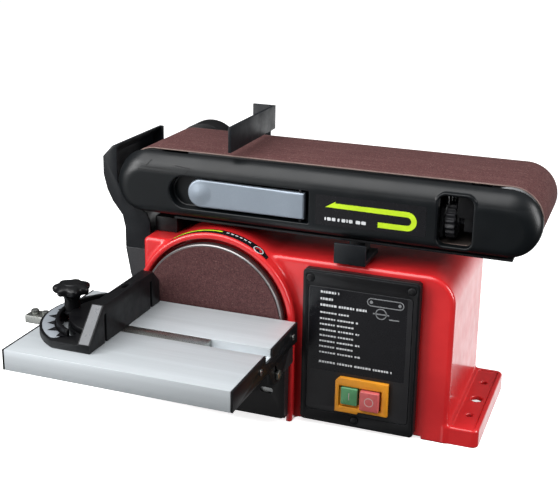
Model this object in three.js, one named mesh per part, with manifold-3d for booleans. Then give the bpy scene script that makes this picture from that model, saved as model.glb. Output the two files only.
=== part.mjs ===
// Bench-top belt and disc sander.
//
// Millimetres, +Z up. The pieces are laid out in the machine's own frame: X runs right along the
// sanding belt, Y runs to the rear, X = 0 is the disc's centre, Y = 0 is the disc's sanding face
// and Z = 0 is the bench. The last lines move the whole machine so that its origin is the centre
// of its footprint on the bench.

import * as THREE from 'three';
import { mergeVertices } from 'three/addons/utils/BufferGeometryUtils.js';
import Module from 'manifold-3d';

const wasm = await Module();
wasm.setup();

// ---------------------------------------------------------------- driving dimensions

const GAP = 0.3; // clearance between pieces that touch
const THROUGH = 2; // how far a cutter runs past the face that it cuts

// sanding disc
const DISC_Z = 102;
const DISC_RADIUS = 75;
const PAPER = 1;
const PLATTER_BACK = 11;

// red base casting
const BASE = { left: -84, right: 241, front: 20, back: 170, top: 170 };
const BASE_WALL = 4;
const RING = { outer: 86, inner: 80, front: 6 };
const HUMP_BACK = 137;
const FOOT = { width: 30, front: 21, back: 167, height: 18.6, wall: 4.5, top: 6 };
const FOOT_HOLES = [{ y: 55, r: 3.6 }, { y: 93, r: 6.2 }, { y: 133, r: 3.6 }];

// switch panel
const PANEL = { left: 93.4, right: 209.4, bottom: 4.4, top: 164.2, front: 10, back: 19.7 };
const SWITCH = { left: 131, right: 184, bottom: 22, top: 58.5 };

// sanding belt: 100 mm wide, 914 mm round
const BELT_WIDTH = 100;
const BELT_LENGTH = 914;
const BELT_FRONT = 35.3;
const BELT_THICK = 1.2;
const ROLLER_RADIUS = 30;
const BELT_INNER = ROLLER_RADIUS + GAP;
const BELT_MEAN = BELT_INNER + BELT_THICK / 2;
const BELT_OUTER = BELT_INNER + BELT_THICK;
const BELT_BACK = BELT_FRONT + BELT_WIDTH;
const DRIVE = { x: -77.3, z: 230 }; // drive roller axis, which the arm also tilts about
const IDLER = { x: DRIVE.x + (BELT_LENGTH - 2 * Math.PI * BELT_MEAN) / 2, z: DRIVE.z };
const IDLER_TRAVEL = 4; // how far the lever draws the idler roller in

// belt arm
const ARM_BACK = 139;
const COVER = { radius: 31.5, left: DRIVE.x - 7, z: 227.5, front: 20, back: BELT_FRONT - GAP, wall: 2.4 };
const RECESS = { left: -54, right: 93.6, bottom: 206, top: 239, floor: 31 };
const WINDOW = { left: 219, right: 252, bottom: 201, top: 249 };
const KNOB = { x: 224, width: 10, y: 45, z: 220, radius: 17.5 };
const LEVER = { left: -34.5, right: 89.2 };
const LEVER_PIN = { x: 84.8, y: 24, r: 2 };
const FENCE = { x: 8, thick: 3, bottom: 266.5, top: 292, front: 25, back: 147, foot: 142 };

// drive from the motor up to the arm
const MOTOR_PULLEY = 16.5;
const ROLLER_PULLEY = 21;
const DRIVE_BELT = { front: 151, back: 161, thick: 2.2 };
const PILLAR = { front: 139.5, back: 145 };
const DRIVE_COVER = { x: DRIVE.x + 4, front: 145.3, back: 172, radius: 34, wall: 2.5 };

// motor
const MOTOR = { radius: 58, front: 40, back: 124, wall: 7 };
const SHAFT = 7;

// table
const TABLE = { left: -131.5, right: 93.5, front: -163, back: -3, bottom: 93, top: 113 };
const TABLE_SKIN = 3.5;
const CAP = 1.7;
const SLOT = { centre: -78.5, width: 16, depth: 8.5 };
const TILT = { y: -14, z: 97 };
const LOCK = { y: -44, z: 75 };
const TABLE_TILT = THREE.MathUtils.degToRad(35);
const TRUNNION = { inner: 86.6, outer: 88.3 };
const CAP_SCREWS_Y = [-99, -15.5];
const CAP_SCREW_Z = 102.5;

// mitre gauge
const GAUGE_PIVOT = { x: -60, y: SLOT.centre };
const GAUGE_BAR = { left: -158, right: 33, bottom: 105, top: 112.6, width: 15.2 };
const HEAD = { radius: 72.5, front: -143.5, back: -13, bottom: 113.3, top: 120 };
const GAUGE_FENCE = { left: -65, right: -53, front: -117, back: -6, top: 150 };
const GAUGE_LOCK = 50; // distance from the pivot to the knob that clamps the head
const GAUGE_TURN = THREE.MathUtils.degToRad(60);

// ---------------------------------------------------------------- finishes

const FINISH = {
  redPaint: { color: 0xc5282b, roughness: 0.38, metalness: 0.1 },
  blackPlastic: { color: 0x1d1f22, roughness: 0.45, metalness: 0 },
  blackPaint: { color: 0x1a1b1d, roughness: 0.5, metalness: 0.2 },
  greyPaint: { color: 0x3c4043, roughness: 0.5, metalness: 0.2 },
  aluminium: { color: 0xc9cdd1, roughness: 0.35, metalness: 0.9 },
  steel: { color: 0xa8abad, roughness: 0.3, metalness: 1 },
  leverGrey: { color: 0x98a2ad, roughness: 0.35, metalness: 0.6 },
  abrasive: { color: 0x6a4444, roughness: 0.95, metalness: 0 },
  rubber: { color: 0x151515, roughness: 0.8, metalness: 0 },
  copper: { color: 0x9a5a34, roughness: 0.5, metalness: 0.6 },
  yellowPlastic: { color: 0xe79a25, roughness: 0.4, metalness: 0 },
  greenPlastic: { color: 0x3f8f5a, roughness: 0.35, metalness: 0 },
  redPlastic: { color: 0xc43f4c, roughness: 0.35, metalness: 0 },
};

// ---------------------------------------------------------------- solids

function solid(geometry) {
  const plain = geometry.clone();
  plain.deleteAttribute('normal');
  plain.deleteAttribute('uv');
  const merged = mergeVertices(plain, 1e-4);
  const corners = merged.index.array;
  const faces = [];
  for (let i = 0; i < corners.length; i += 3) {
    const [a, b, c] = [corners[i], corners[i + 1], corners[i + 2]];
    if (a !== b && b !== c && c !== a) faces.push(a, b, c);
  }
  return new wasm.Manifold(new wasm.Mesh({
    numProp: 3,
    vertProperties: new Float32Array(merged.attributes.position.array),
    triVerts: new Uint32Array(faces),
  }));
}

function join(...solids) {
  return solids.reduce((whole, piece) => whole.add(piece));
}

function cut(whole, ...cutters) {
  return cutters.reduce((rest, cutter) => rest.subtract(cutter), whole);
}

// Which world axes an outline's two axes and its depth follow.
const FRAMES = {
  x: [new THREE.Vector3(0, 1, 0), new THREE.Vector3(0, 0, 1), new THREE.Vector3(1, 0, 0)],
  y: [new THREE.Vector3(1, 0, 0), new THREE.Vector3(0, 0, 1), new THREE.Vector3(0, -1, 0)],
  z: [new THREE.Vector3(1, 0, 0), new THREE.Vector3(0, 1, 0), new THREE.Vector3(0, 0, 1)],
};

// Extrudes an outline from one place to another along an axis, its rims rounded by bevel.
// An outline is drawn in (y, z) along x, in (x, z) along y and in (x, y) along z.
function prism(axis, shape, from, to, bevel = 0, bevelSegments = 2, curveSegments = 12) {
  const geometry = new THREE.ExtrudeGeometry(shape, {
    depth: to - from - 2 * bevel,
    bevelEnabled: bevel > 0,
    bevelThickness: bevel,
    bevelSize: bevel,
    bevelOffset: -bevel,
    bevelSegments,
    curveSegments,
  });
  geometry.translate(0, 0, bevel);
  geometry.applyMatrix4(new THREE.Matrix4().makeBasis(...FRAMES[axis]));
  if (axis === 'x') geometry.translate(from, 0, 0);
  if (axis === 'y') geometry.translate(0, to, 0);
  if (axis === 'z') geometry.translate(0, 0, from);
  return solid(geometry);
}

function block(x, y, z) {
  const geometry = new THREE.BoxGeometry(x[1] - x[0], y[1] - y[0], z[1] - z[0]);
  geometry.translate((x[0] + x[1]) / 2, (y[0] + y[1]) / 2, (z[0] + z[1]) / 2);
  return solid(geometry);
}

// A cylinder along an axis, centre given by its two other coordinates in x, y, z order.
function rod(axis, radius, [a, b], from, to, sides = 24) {
  const geometry = new THREE.CylinderGeometry(radius, radius, to - from, sides);
  const middle = (from + to) / 2;
  if (axis === 'x') geometry.rotateZ(-Math.PI / 2).translate(middle, a, b);
  if (axis === 'y') geometry.translate(a, middle, b);
  if (axis === 'z') geometry.rotateX(Math.PI / 2).translate(a, b, middle);
  return solid(geometry);
}

function tube(axis, outer, inner, centre, from, to, sides = 24) {
  return cut(
    rod(axis, outer, centre, from, to, sides),
    rod(axis, inner, centre, from - THROUGH, to + THROUGH, sides),
  );
}

function polygon(points) {
  return new THREE.Shape(points.map(([a, b]) => new THREE.Vector2(a, b)));
}

// A rectangle with its corners rounded, radii in the order bottom left, bottom right, top right,
// top left.
function roundedRect(left, right, bottom, top, radii) {
  const [bl, br, tr, tl] = Array.isArray(radii) ? radii : [radii, radii, radii, radii];
  const shape = new THREE.Shape();
  shape.moveTo(left + bl, bottom);
  shape.lineTo(right - br, bottom);
  if (br) shape.absarc(right - br, bottom + br, br, -Math.PI / 2, 0);
  shape.lineTo(right, top - tr);
  if (tr) shape.absarc(right - tr, top - tr, tr, 0, Math.PI / 2);
  shape.lineTo(left + tl, top);
  if (tl) shape.absarc(left + tl, top - tl, tl, Math.PI / 2, Math.PI);
  shape.lineTo(left, bottom + bl);
  if (bl) shape.absarc(left + bl, bottom + bl, bl, Math.PI, 1.5 * Math.PI);
  return shape;
}

// The outline of a belt pulled tight round two circles.
function loop(from, fromRadius, to, toRadius) {
  const along = Math.atan2(to.z - from.z, to.x - from.x);
  const span = Math.hypot(to.z - from.z, to.x - from.x);
  const lean = Math.acos((fromRadius - toRadius) / span);
  const shape = new THREE.Shape();
  shape.absarc(from.x, from.z, fromRadius, along + lean, along - lean + 2 * Math.PI);
  shape.absarc(to.x, to.z, toRadius, along - lean, along + lean);
  return shape;
}

// The disc housing's outline: a half circle on two straight legs.
function arch(radius, floor) {
  const shape = new THREE.Shape();
  shape.moveTo(-radius, floor);
  shape.lineTo(radius, floor);
  shape.absarc(0, DISC_Z, radius, 0, Math.PI);
  return shape;
}

// The part of a circle about the disc's axis that is above a height.
function arcAbove(radius, height) {
  const start = Math.asin((height - DISC_Z) / radius);
  const shape = new THREE.Shape();
  shape.absarc(0, DISC_Z, radius, start, Math.PI - start);
  return shape;
}

// A round outline with lobes or ribs, for knobs and finger grips.
function lobed(centre, radius, depth, lobes, steps) {
  const points = [];
  for (let i = 0; i < steps; i += 1) {
    const angle = (2 * Math.PI * i) / steps;
    const r = radius - depth * (0.5 - 0.5 * Math.cos(lobes * angle));
    points.push([centre[0] + r * Math.cos(angle), centre[1] + r * Math.sin(angle)]);
  }
  return polygon(points);
}

// A slot bent round a centre, such as the path of a clamp bolt.
function arcSlot(centre, radius, halfWidth, start, end) {
  const at = (r, angle) => [centre[0] + r * Math.cos(angle), centre[1] + r * Math.sin(angle)];
  const shape = new THREE.Shape();
  shape.absarc(centre[0], centre[1], radius + halfWidth, start, end);
  shape.absarc(...at(radius, end), halfWidth, end, end + Math.PI);
  shape.absarc(centre[0], centre[1], radius - halfWidth, end, start, true);
  shape.absarc(...at(radius, start), halfWidth, start + Math.PI, start + 2 * Math.PI);
  return shape;
}

// A screw or bolt along an axis: a head from head[0] to head[1] and a plain shank to the tip.
function screw(axis, centre, headRadius, head, shankRadius, tip, sides = 12) {
  const shank = tip > head[1] ? [head[1] - 0.2, tip] : [tip, head[0] + 0.2];
  return join(
    rod(axis, headRadius, centre, head[0], head[1], sides),
    rod(axis, shankRadius, centre, ...shank, 8),
  );
}

const machine = new THREE.Group();

function add(name, piece, finish) {
  const { vertProperties, triVerts } = piece.getMesh();
  const geometry = new THREE.BufferGeometry();
  geometry.setAttribute('position', new THREE.BufferAttribute(vertProperties, 3));
  geometry.setIndex(new THREE.BufferAttribute(triVerts, 1));
  geometry.computeVertexNormals();
  const mesh = new THREE.Mesh(geometry, new THREE.MeshStandardMaterial(finish));
  mesh.name = name;
  machine.add(mesh);
}

// ---------------------------------------------------------------- base

// A hollow box foot along one end of the base, open underneath, with a rimmed pad on top.
function foot(inner, outer) {
  const [low, high] = [Math.min(inner, outer), Math.max(inner, outer)];
  const corners = outer > inner ? [0, 7, 7, 0] : [7, 0, 0, 7];
  const body = prism(
    'z', roundedRect(low, high, FOOT.front, FOOT.back, corners), 0, FOOT.height, 0, 2, 4);
  const [from, to] = [low + FOOT.wall, high - FOOT.wall];
  const [front, back] = [FOOT.front + FOOT.wall, FOOT.back - FOOT.wall];
  const hollow = block([from, to], [front, back], [-THROUGH, FOOT.height - FOOT.top]);
  const pad = block([from, to], [front, back], [FOOT.height - 1.2, FOOT.height + THROUGH]);
  const middle = (low + high) / 2;
  const holes = FOOT_HOLES.map(
    (hole) => rod('z', hole.r, [middle, hole.y], 5, FOOT.height + THROUGH, 12));
  return cut(body, hollow, pad, ...holes);
}

function baseHousing() {
  const outside = roundedRect(BASE.left, BASE.right, 0, BASE.top, [0, 0, 28, 5]);
  const inside = roundedRect(
    BASE.left + BASE_WALL, BASE.right - BASE_WALL, -THROUGH, BASE.top - BASE_WALL, [0, 0, 24, 2]);
  const cavityFront = BASE.front + BASE_WALL;
  const cavityBack = BASE.back - BASE_WALL;
  const shell = join(
    prism('y', outside, BASE.front, BASE.back, 4, 2, 6),
    prism('y', arch(RING.outer, 0), RING.front, BASE.front + 5, 0, 2, 20),
    prism('y', arcAbove(RING.outer, 150), RING.front, HUMP_BACK, 0, 2, 18),
  );
  const hollow = cut(
    shell,
    prism('y', arch(RING.inner, -THROUGH), 0, BASE.front, 0, 2, 20),
    prism('y', inside, cavityFront, cavityBack, 0, 2, 4),
    prism('y', arcAbove(RING.outer - BASE_WALL, 140), cavityFront, HUMP_BACK - BASE_WALL, 0, 2, 14),
    rod('y', 16, [0, DISC_Z], BASE.front - THROUGH, cavityFront + THROUGH),
    block([126, 189], [BASE.front - THROUGH, cavityFront + THROUGH], [18, 62]),
    block([-72, -10], [148, 164], [BASE.top - 8, BASE.top + THROUGH]),
    rod('y', 8.3, [200, 42], cavityBack - THROUGH, BASE.back + THROUGH, 16),
    block([RING.outer + 8, BASE.right - 26], [0, BASE.back + THROUGH], [-THROUGH, 3]),
    block([-RING.inner, RING.outer + 9], [BASE.front + 4, BASE.back + THROUGH], [-THROUGH, 3]),
  );
  return join(
    hollow,
    foot(BASE.right - 0.5, BASE.right + FOOT.width),
    foot(BASE.left + 0.5, BASE.left - FOOT.width),
  );
}

function base() {
  add('base_housing', baseHousing(), FINISH.redPaint);

  const plateZ = [4, 5.5];
  const plate = block(
    [BASE.left + BASE_WALL + GAP, BASE.right - BASE_WALL - GAP],
    [BASE.front + BASE_WALL + GAP, BASE.back - BASE_WALL - GAP], plateZ);
  const vents = [-20, 0, 20].map((x) => block([x - 3, x + 3], [60, 120], [0, 9]));
  add('bottom_plate', cut(plate, ...vents), FINISH.steel);

  add('cord_inlet', join(
    tube('y', 8, 4.5, [200, 42], 160, BASE.back + 0.5, 16),
    tube('y', 11, 4.5, [200, 42], BASE.back + GAP, BASE.back + 5, 16),
  ), FINISH.rubber);
}

// The black casting that closes the lower half of the disc housing, in front of the disc. It has
// a lug at each side, with the pin that the table tilts on and a hole for the lock bolt.
function lowerDiscGuard() {
  const face = prism('y', roundedRect(-82, 82, 8, 90, [4, 4, 0, 0]), -5, -2.5, 0, 2, 4);
  const slot = prism('y', loop({ x: 58.5, z: 36.5 }, 2.9, { x: 67, z: 36.5 }, 2.9), -7, 0, 0, 2, 6);
  const sides = [-1, 1].map((side) => {
    const x = [side * 79.8, side * 82].sort((a, b) => a - b);
    return block(x, [-3, RING.front - GAP], [8, 70]);
  });
  const lugOutline = polygon([
    [5.7, 66], [5.7, 90], [-6.8, 90], [-6.8, 98], [-10, 104], [-22, 104], [-52, 84], [-52, 67],
  ]);
  const lugs = [-1, 1].map((side) => {
    const span = (inner, outer) => [side * inner, side * outer].sort((a, b) => a - b);
    return join(
      prism('x', lugOutline, ...span(81.5, TRUNNION.inner - GAP)),
      rod('x', 3, [TILT.y, TILT.z], ...span(82, TRUNNION.outer + 1), 12),
      rod('x', 5, [TILT.y, TILT.z], ...span(TRUNNION.outer + GAP, TRUNNION.outer + 2.6), 16),
    );
  });
  const lockHole = rod('x', 3, [LOCK.y, LOCK.z], -100, 100, 12);
  add('lower_disc_guard', cut(join(face, ...sides, ...lugs), slot, lockHole), FINISH.blackPlastic);
}

function switchPanel() {
  const outline = roundedRect(PANEL.left, PANEL.right, PANEL.bottom, PANEL.top, 4);
  const back = roundedRect(PANEL.left + 3, PANEL.right - 3, PANEL.bottom + 3, PANEL.top - 3, 2);
  const screws = [[101, 156], [201.5, 156], [150, 12.5]];
  const shell = cut(
    prism('y', outline, PANEL.front, PANEL.back + 2, 2, 1, 4),
    block([0, 300], [PANEL.back, PANEL.back + 5], [0, 200]),
    prism('y', back, PANEL.front + 3, PANEL.back + THROUGH, 0, 2, 4),
    block([SWITCH.left + 3, SWITCH.right - 3], [0, 30], [SWITCH.bottom + 3, SWITCH.top - 3]),
  );
  const bosses = screws.map((at) => rod('y', 5, at, PANEL.front + 2.5, PANEL.back, 12));
  const holes = screws.map((at) => rod('y', 2.2, at, 0, 30, 10));
  add('switch_panel', cut(join(shell, ...bosses), ...holes), FINISH.blackPlastic);
  screws.forEach((at, i) => {
    const piece = screw('y', at, 3.8, [8.4, PANEL.front - GAP], 1.8, PANEL.back);
    add(`panel_screw_${i + 1}`, piece, FINISH.blackPaint);
  });
}

function powerSwitch() {
  const start = { x: [137, 154], z: [31, 49] };
  const stop = { x: [157, 176], z: [29, 49] };
  const window = (button) => block(
    [button.x[0] - 0.4, button.x[1] + 0.4], [0, 20], [button.z[0] - 0.4, button.z[1] + 0.4]);
  const outline = polygon([
    [SWITCH.left, SWITCH.bottom], [SWITCH.right, SWITCH.bottom], [SWITCH.right, SWITCH.top],
    [SWITCH.left + 5, SWITCH.top], [SWITCH.left, SWITCH.top - 5],
  ]);
  const bezel = prism('y', outline, 5.5, PANEL.front - GAP, 1, 1);
  add('switch_bezel', cut(bezel, window(start), window(stop)), FINISH.yellowPlastic);
  add('switch_body', block([SWITCH.left + 3.5, SWITCH.right - 3.5], [15, 50],
    [SWITCH.bottom + 3.5, SWITCH.top - 3.5]), FINISH.blackPlastic);
  add('start_button', block(start.x, [4.4, 11.5], start.z), FINISH.greenPlastic);
  const stopOutline = roundedRect(...stop.x, ...stop.z, 2);
  add('stop_button', prism('y', stopOutline, 1.5, 11.5, 1, 1, 3), FINISH.redPlastic);
}

// ---------------------------------------------------------------- motor and its drive

function motor() {
  const axis = [0, DISC_Z];
  const wall = BASE.front + BASE_WALL + GAP;
  add('motor_casing', cut(
    rod('y', MOTOR.radius, axis, MOTOR.front, 133),
    rod('y', MOTOR.radius - MOTOR.wall, axis, 0, MOTOR.back),
    rod('y', 13.3, axis, 0, 131),
    rod('y', SHAFT + 1.5, axis, 0, 140),
  ), FINISH.greyPaint);
  add('stator', tube('y', MOTOR.radius - MOTOR.wall - GAP, 35, axis, 52, 112), FINISH.copper);

  add('motor_end_bell', cut(
    rod('y', MOTOR.radius, axis, wall, MOTOR.front - GAP),
    rod('y', SHAFT + 1.5, axis, wall - THROUGH, MOTOR.front),
    rod('y', 13.3, axis, 30, MOTOR.front + THROUGH),
  ), FINISH.aluminium);
  add('front_bearing', tube('y', 13, SHAFT + GAP, axis, 30.3, 38.5), FINISH.steel);
  add('rear_bearing', tube('y', 13, SHAFT + GAP, axis, 124.5, 130.7), FINISH.steel);

  add('rotor_shaft', join(
    rod('y', SHAFT, axis, 4, 163),
    rod('y', 34.3, axis, 52, 112),
  ), FINISH.steel);

  const hub = tube('y', 12, SHAFT + GAP, axis, 135, 142);
  const blades = [0, 1, 2, 3, 4, 5].map((i) => {
    const blade = block([10, 42], [136, 141], [-1, 1]);
    return blade.rotate([0, 60 * i, 0]).translate([0, 0, DISC_Z]);
  });
  add('cooling_fan', join(hub, ...blades), FINISH.blackPlastic);
  add('capacitor', rod('x', 18, [100, 26], 130, 195, 20), FINISH.greyPaint);
}

function disc() {
  const axis = [0, DISC_Z];
  add('disc_platter', cut(
    join(
      rod('y', DISC_RADIUS + 0.8, axis, PAPER + GAP, PLATTER_BACK, 48),
      rod('y', 14, axis, PLATTER_BACK - 1, BASE.front - 1.5),
    ),
    rod('y', SHAFT + GAP, axis, 3.5, BASE.front + THROUGH),
  ), FINISH.aluminium);
  add('abrasive_disc', rod('y', DISC_RADIUS, axis, 0, PAPER, 48), FINISH.abrasive);
}

function beltDrive() {
  const motorAxis = { x: 0, z: DISC_Z };
  const [front, back] = [DRIVE_BELT.front, DRIVE_BELT.back];
  const clear = GAP + DRIVE_BELT.thick;
  const pulley = (radius, axis, bore) => cut(
    join(
      rod('y', radius, axis, front - 0.5, back + 0.5),
      rod('y', radius + 3.5, axis, front - 2, front - 0.5),
      rod('y', radius + 3.5, axis, back + 0.5, back + 1.5),
    ),
    rod('y', bore, axis, front - 4, back + 4, 16),
  );
  add('motor_pulley', pulley(MOTOR_PULLEY, [0, DISC_Z], SHAFT + GAP), FINISH.steel);
  add('roller_pulley', pulley(ROLLER_PULLEY, [DRIVE.x, DRIVE.z], 6 + GAP), FINISH.steel);
  add('drive_belt', cut(
    prism('y', loop(motorAxis, MOTOR_PULLEY + clear, DRIVE, ROLLER_PULLEY + clear), front, back),
    prism('y', loop(motorAxis, MOTOR_PULLEY + GAP, DRIVE, ROLLER_PULLEY + GAP), front - 1, back + 1),
  ), FINISH.rubber);
}

// An upright with a round top about the arm's tilt axis, standing on the base.
function uprightOutline(x, radius, left, right) {
  const shape = new THREE.Shape();
  shape.moveTo(left, BASE.top + GAP);
  shape.lineTo(right, BASE.top + GAP);
  shape.absarc(x, DRIVE.z, radius, 0.35, Math.PI);
  return shape;
}

function pivotAndCovers() {
  const axis = [DRIVE.x, DRIVE.z];
  add('pivot_pillar', cut(
    join(
      prism('y', uprightOutline(DRIVE.x, 29, -82, -20), PILLAR.front, PILLAR.back),
      block([-82, -57], [44, PILLAR.back], [BASE.top + GAP, 186]),
    ),
    rod('y', 20.5, axis, PILLAR.front - THROUGH, PILLAR.back + THROUGH),
  ), FINISH.blackPaint);

  const { x, radius, wall } = DRIVE_COVER;
  add('drive_cover', cut(
    prism('y', uprightOutline(x, radius, x - radius, -3), DRIVE_COVER.front, DRIVE_COVER.back, 0, 2, 16),
    prism('y', uprightOutline(x, radius - wall, x - radius + wall, -7),
      DRIVE_COVER.front + wall, DRIVE_COVER.back - wall, 0, 2, 12),
    block([-80, -7], [DRIVE_COVER.front + wall, DRIVE_COVER.back - wall], [160, 172]),
    rod('y', 21, axis, DRIVE_COVER.front - THROUGH, DRIVE_COVER.front + wall + THROUGH),
  ), FINISH.blackPlastic);
}

// The bent sheet that closes the belt's left end, and the grey skirt that carries it.
function leftGuard() {
  const y = { front: 36, back: 144.5 };
  const sheet = 2.5;
  const rim = [[-126, 258], [-137, 246], [-137, 227], [-133, 211], [-127, 199], [-116, 185], [-113, 172]];
  const skirt = [[-113, 150], [-108, 122], [-99, 94]];
  const split = 151;
  const wallX = BASE.left - GAP;
  const inset = ([x, z]) => [x + sheet, z];
  const mouth = [[-115, 207], [-121, 222], [-121, 258]];
  const outer = polygon([...rim, [-113, split], [wallX, split], [wallX, 171],
    [-84, 180], [-88, 190], [-102, 197], ...mouth]);
  const inner = polygon([...rim.slice(1).map(inset), [-110.5, split + sheet], [wallX + 5, split + sheet],
    [wallX + 5, 300], [-123.5, 300], [-123.5, 257]]);
  add('left_guard', cut(
    join(
      cut(prism('y', outer, y.front, y.back), prism('y', inner, y.front + sheet, y.back + THROUGH)),
      prism('y', polygon([...rim.slice(0, 5), ...mouth]), y.back - sheet, y.back),
    ),
    rod('y', 41, [DRIVE.x, DRIVE.z], y.front - THROUGH, y.back + THROUGH),
  ), FINISH.blackPaint);

  const skirtOuter = polygon([...skirt, [wallX, 80], [wallX, split - GAP], [-113, split - GAP]]);
  const skirtInner = polygon([...skirt.slice(1).map(inset), [wallX - 2.5, 86],
    [wallX - 2.5, split - 3.5], [-110.5, split - 3.5]]);
  add('guard_skirt', cut(
    prism('y', skirtOuter, y.front, y.back),
    prism('y', skirtInner, y.front + sheet, y.back + THROUGH),
  ), FINISH.greyPaint);
}

// ---------------------------------------------------------------- belt arm

function armFrame() {
  const web = { left: -38, right: 214 };
  const inside = [BELT_FRONT + 2.7, BELT_BACK - 1];
  const rearPlate = loop(DRIVE, 24, { x: 210, z: DRIVE.z }, 24);
  return cut(
    join(
      block([web.left, 236], [inside[0], ARM_BACK - 1], [251, 255.8]),
      block([web.left, web.right], [inside[0], ARM_BACK - 1], [204, 209]),
      block([web.left, web.right], [96, 102], [204, 255]),
      prism('y', rearPlate, BELT_BACK + 0.7, ARM_BACK, 0, 2, 10),
      rod('y', 20, [DRIVE.x, DRIVE.z], BELT_BACK + 1, PILLAR.back - 0.4),
      block([218.5, 221.5], [inside[0], 58], [208, 232]),
      block([200, 221.5], [inside[0], 58], [204, 209]),
    ),
    rod('x', 3.5, [KNOB.y, KNOB.z], 216, 224, 12),
    rod('y', 15.3, [DRIVE.x, DRIVE.z], BELT_BACK, PILLAR.back + THROUGH),
    rod('y', 3.3, [-4, 228], BELT_BACK, ARM_BACK + THROUGH, 12),
  );
}

function coverShell() {
  const left = { x: COVER.left, z: COVER.z };
  const right = { x: IDLER.x, z: COVER.z };
  const radius = COVER.radius;
  const deep = COVER.back + 12;
  const shell = cut(
    prism('y', loop(left, radius, right, radius), COVER.front, deep, 11, 4, 12),
    prism('y', loop(left, radius - COVER.wall, right, radius - COVER.wall),
      COVER.front + COVER.wall, deep, 9.5, 3, 10),
    block([-200, 400], [COVER.back, deep + THROUGH], [150, 300]),
  );
  const middle = (RECESS.bottom + RECESS.top) / 2;
  const pocketRadius = (RECESS.top - RECESS.bottom) / 2;
  const pocket = (grow, from, to) => join(
    rod('y', pocketRadius + grow, [RECESS.left + pocketRadius, middle], from, to),
    block([RECESS.left + pocketRadius, RECESS.right + grow], [from, to],
      [RECESS.bottom - grow, RECESS.top + grow]),
  );
  return cut(
    join(shell, pocket(2, COVER.front + 1, RECESS.floor + 2)),
    pocket(0, COVER.front - THROUGH, RECESS.floor),
    prism('y', roundedRect(WINDOW.left, WINDOW.right, WINDOW.bottom, WINDOW.top, 5),
      COVER.front - THROUGH, COVER.back + THROUGH, 0, 2, 4),
  );
}

function arm() {
  add('arm_frame', armFrame(), FINISH.greyPaint);
  add('platen', block([-40, 246], [BELT_FRONT + 1, BELT_BACK - 1], [256.1, 259.8]), FINISH.steel);
  add('front_cover', coverShell(), FINISH.blackPlastic);
  add('sanding_belt', cut(
    prism('y', loop(DRIVE, BELT_OUTER, IDLER, BELT_OUTER), BELT_FRONT, BELT_BACK, 0, 2, 14),
    prism('y', loop(DRIVE, BELT_INNER, IDLER, BELT_INNER), BELT_FRONT - 1, BELT_BACK + 1, 0, 2, 14),
  ), FINISH.abrasive);

  const guard = join(
    block([-50, 290], [24, ARM_BACK], [193, 194.8]),
    block([-30, 220], [ARM_BACK - 2, ARM_BACK - GAP], [194, 203]),
  );
  add('lower_belt_guard', guard, FINISH.blackPaint);

  const fence = FENCE;
  const boltAt = [-4, 228];
  add('stop_fence', cut(
    join(
      block([fence.x, fence.x + fence.thick], [fence.front, fence.back], [fence.bottom, fence.top]),
      block([-14, fence.x + 1], [fence.back - fence.thick, fence.back], [fence.bottom, fence.top]),
      block([-14, fence.x], [ARM_BACK + GAP, fence.back], [fence.bottom - 2, fence.bottom + 1]),
      block([-14, fence.x], [ARM_BACK + GAP, fence.foot], [210, fence.bottom - 1]),
    ),
    rod('y', 3.3, boltAt, BELT_BACK, fence.foot + THROUGH, 12),
  ), FINISH.greyPaint);
  add('fence_bolt', screw(
    'y', boltAt, 6, [fence.foot + GAP, fence.foot + 4.5], 2.8, BELT_BACK + 1, 6), FINISH.steel);

  const bearing = tube('y', 15, 6 + GAP, [DRIVE.x, DRIVE.z], 136.3, 144);
  add('roller_bearing', bearing, FINISH.steel);
  add('lever_pin', rod('z', LEVER_PIN.r, [LEVER_PIN.x, LEVER_PIN.y],
    RECESS.bottom + GAP, RECESS.top - GAP, 12), FINISH.steel);
  add('tension_spring', tube('x', 7, 4.5, [78, 229], 214.3, 243.7, 16), FINISH.steel);
}

function rollers() {
  const width = [BELT_FRONT + 0.7, BELT_BACK - 0.7];
  add('drive_roller', join(
    rod('y', ROLLER_RADIUS, [DRIVE.x, DRIVE.z], ...width, 40),
    rod('y', 6, [DRIVE.x, DRIVE.z], width[1] - 1, 164, 16),
  ), FINISH.rubber);
  add('idler_roller',
    tube('y', ROLLER_RADIUS, 5 + GAP, [IDLER.x, IDLER.z], width[0], width[1], 40), FINISH.aluminium);

  add('idler_carriage', cut(
    join(
      block([241, 249], [38, 132], [212, 248]),
      block([241, 249], [131, ARM_BACK], [222, 238]),
      block([252, IDLER.x], [BELT_BACK + 0.7, ARM_BACK], [222, 238]),
      block([248, 253], [BELT_BACK + 0.7, ARM_BACK], [222, 238]),
      rod('y', 8, [IDLER.x, IDLER.z], BELT_BACK + 0.7, ARM_BACK),
      rod('y', 5, [IDLER.x, IDLER.z], BELT_FRONT + 1, ARM_BACK - 1, 16),
    ),
    rod('x', 4.2, [KNOB.y, KNOB.z], 230, 260, 12),
    rod('x', 7.6, [78, 229], 237, 244 + IDLER_TRAVEL, 16),
  ), FINISH.greyPaint);
}

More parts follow.
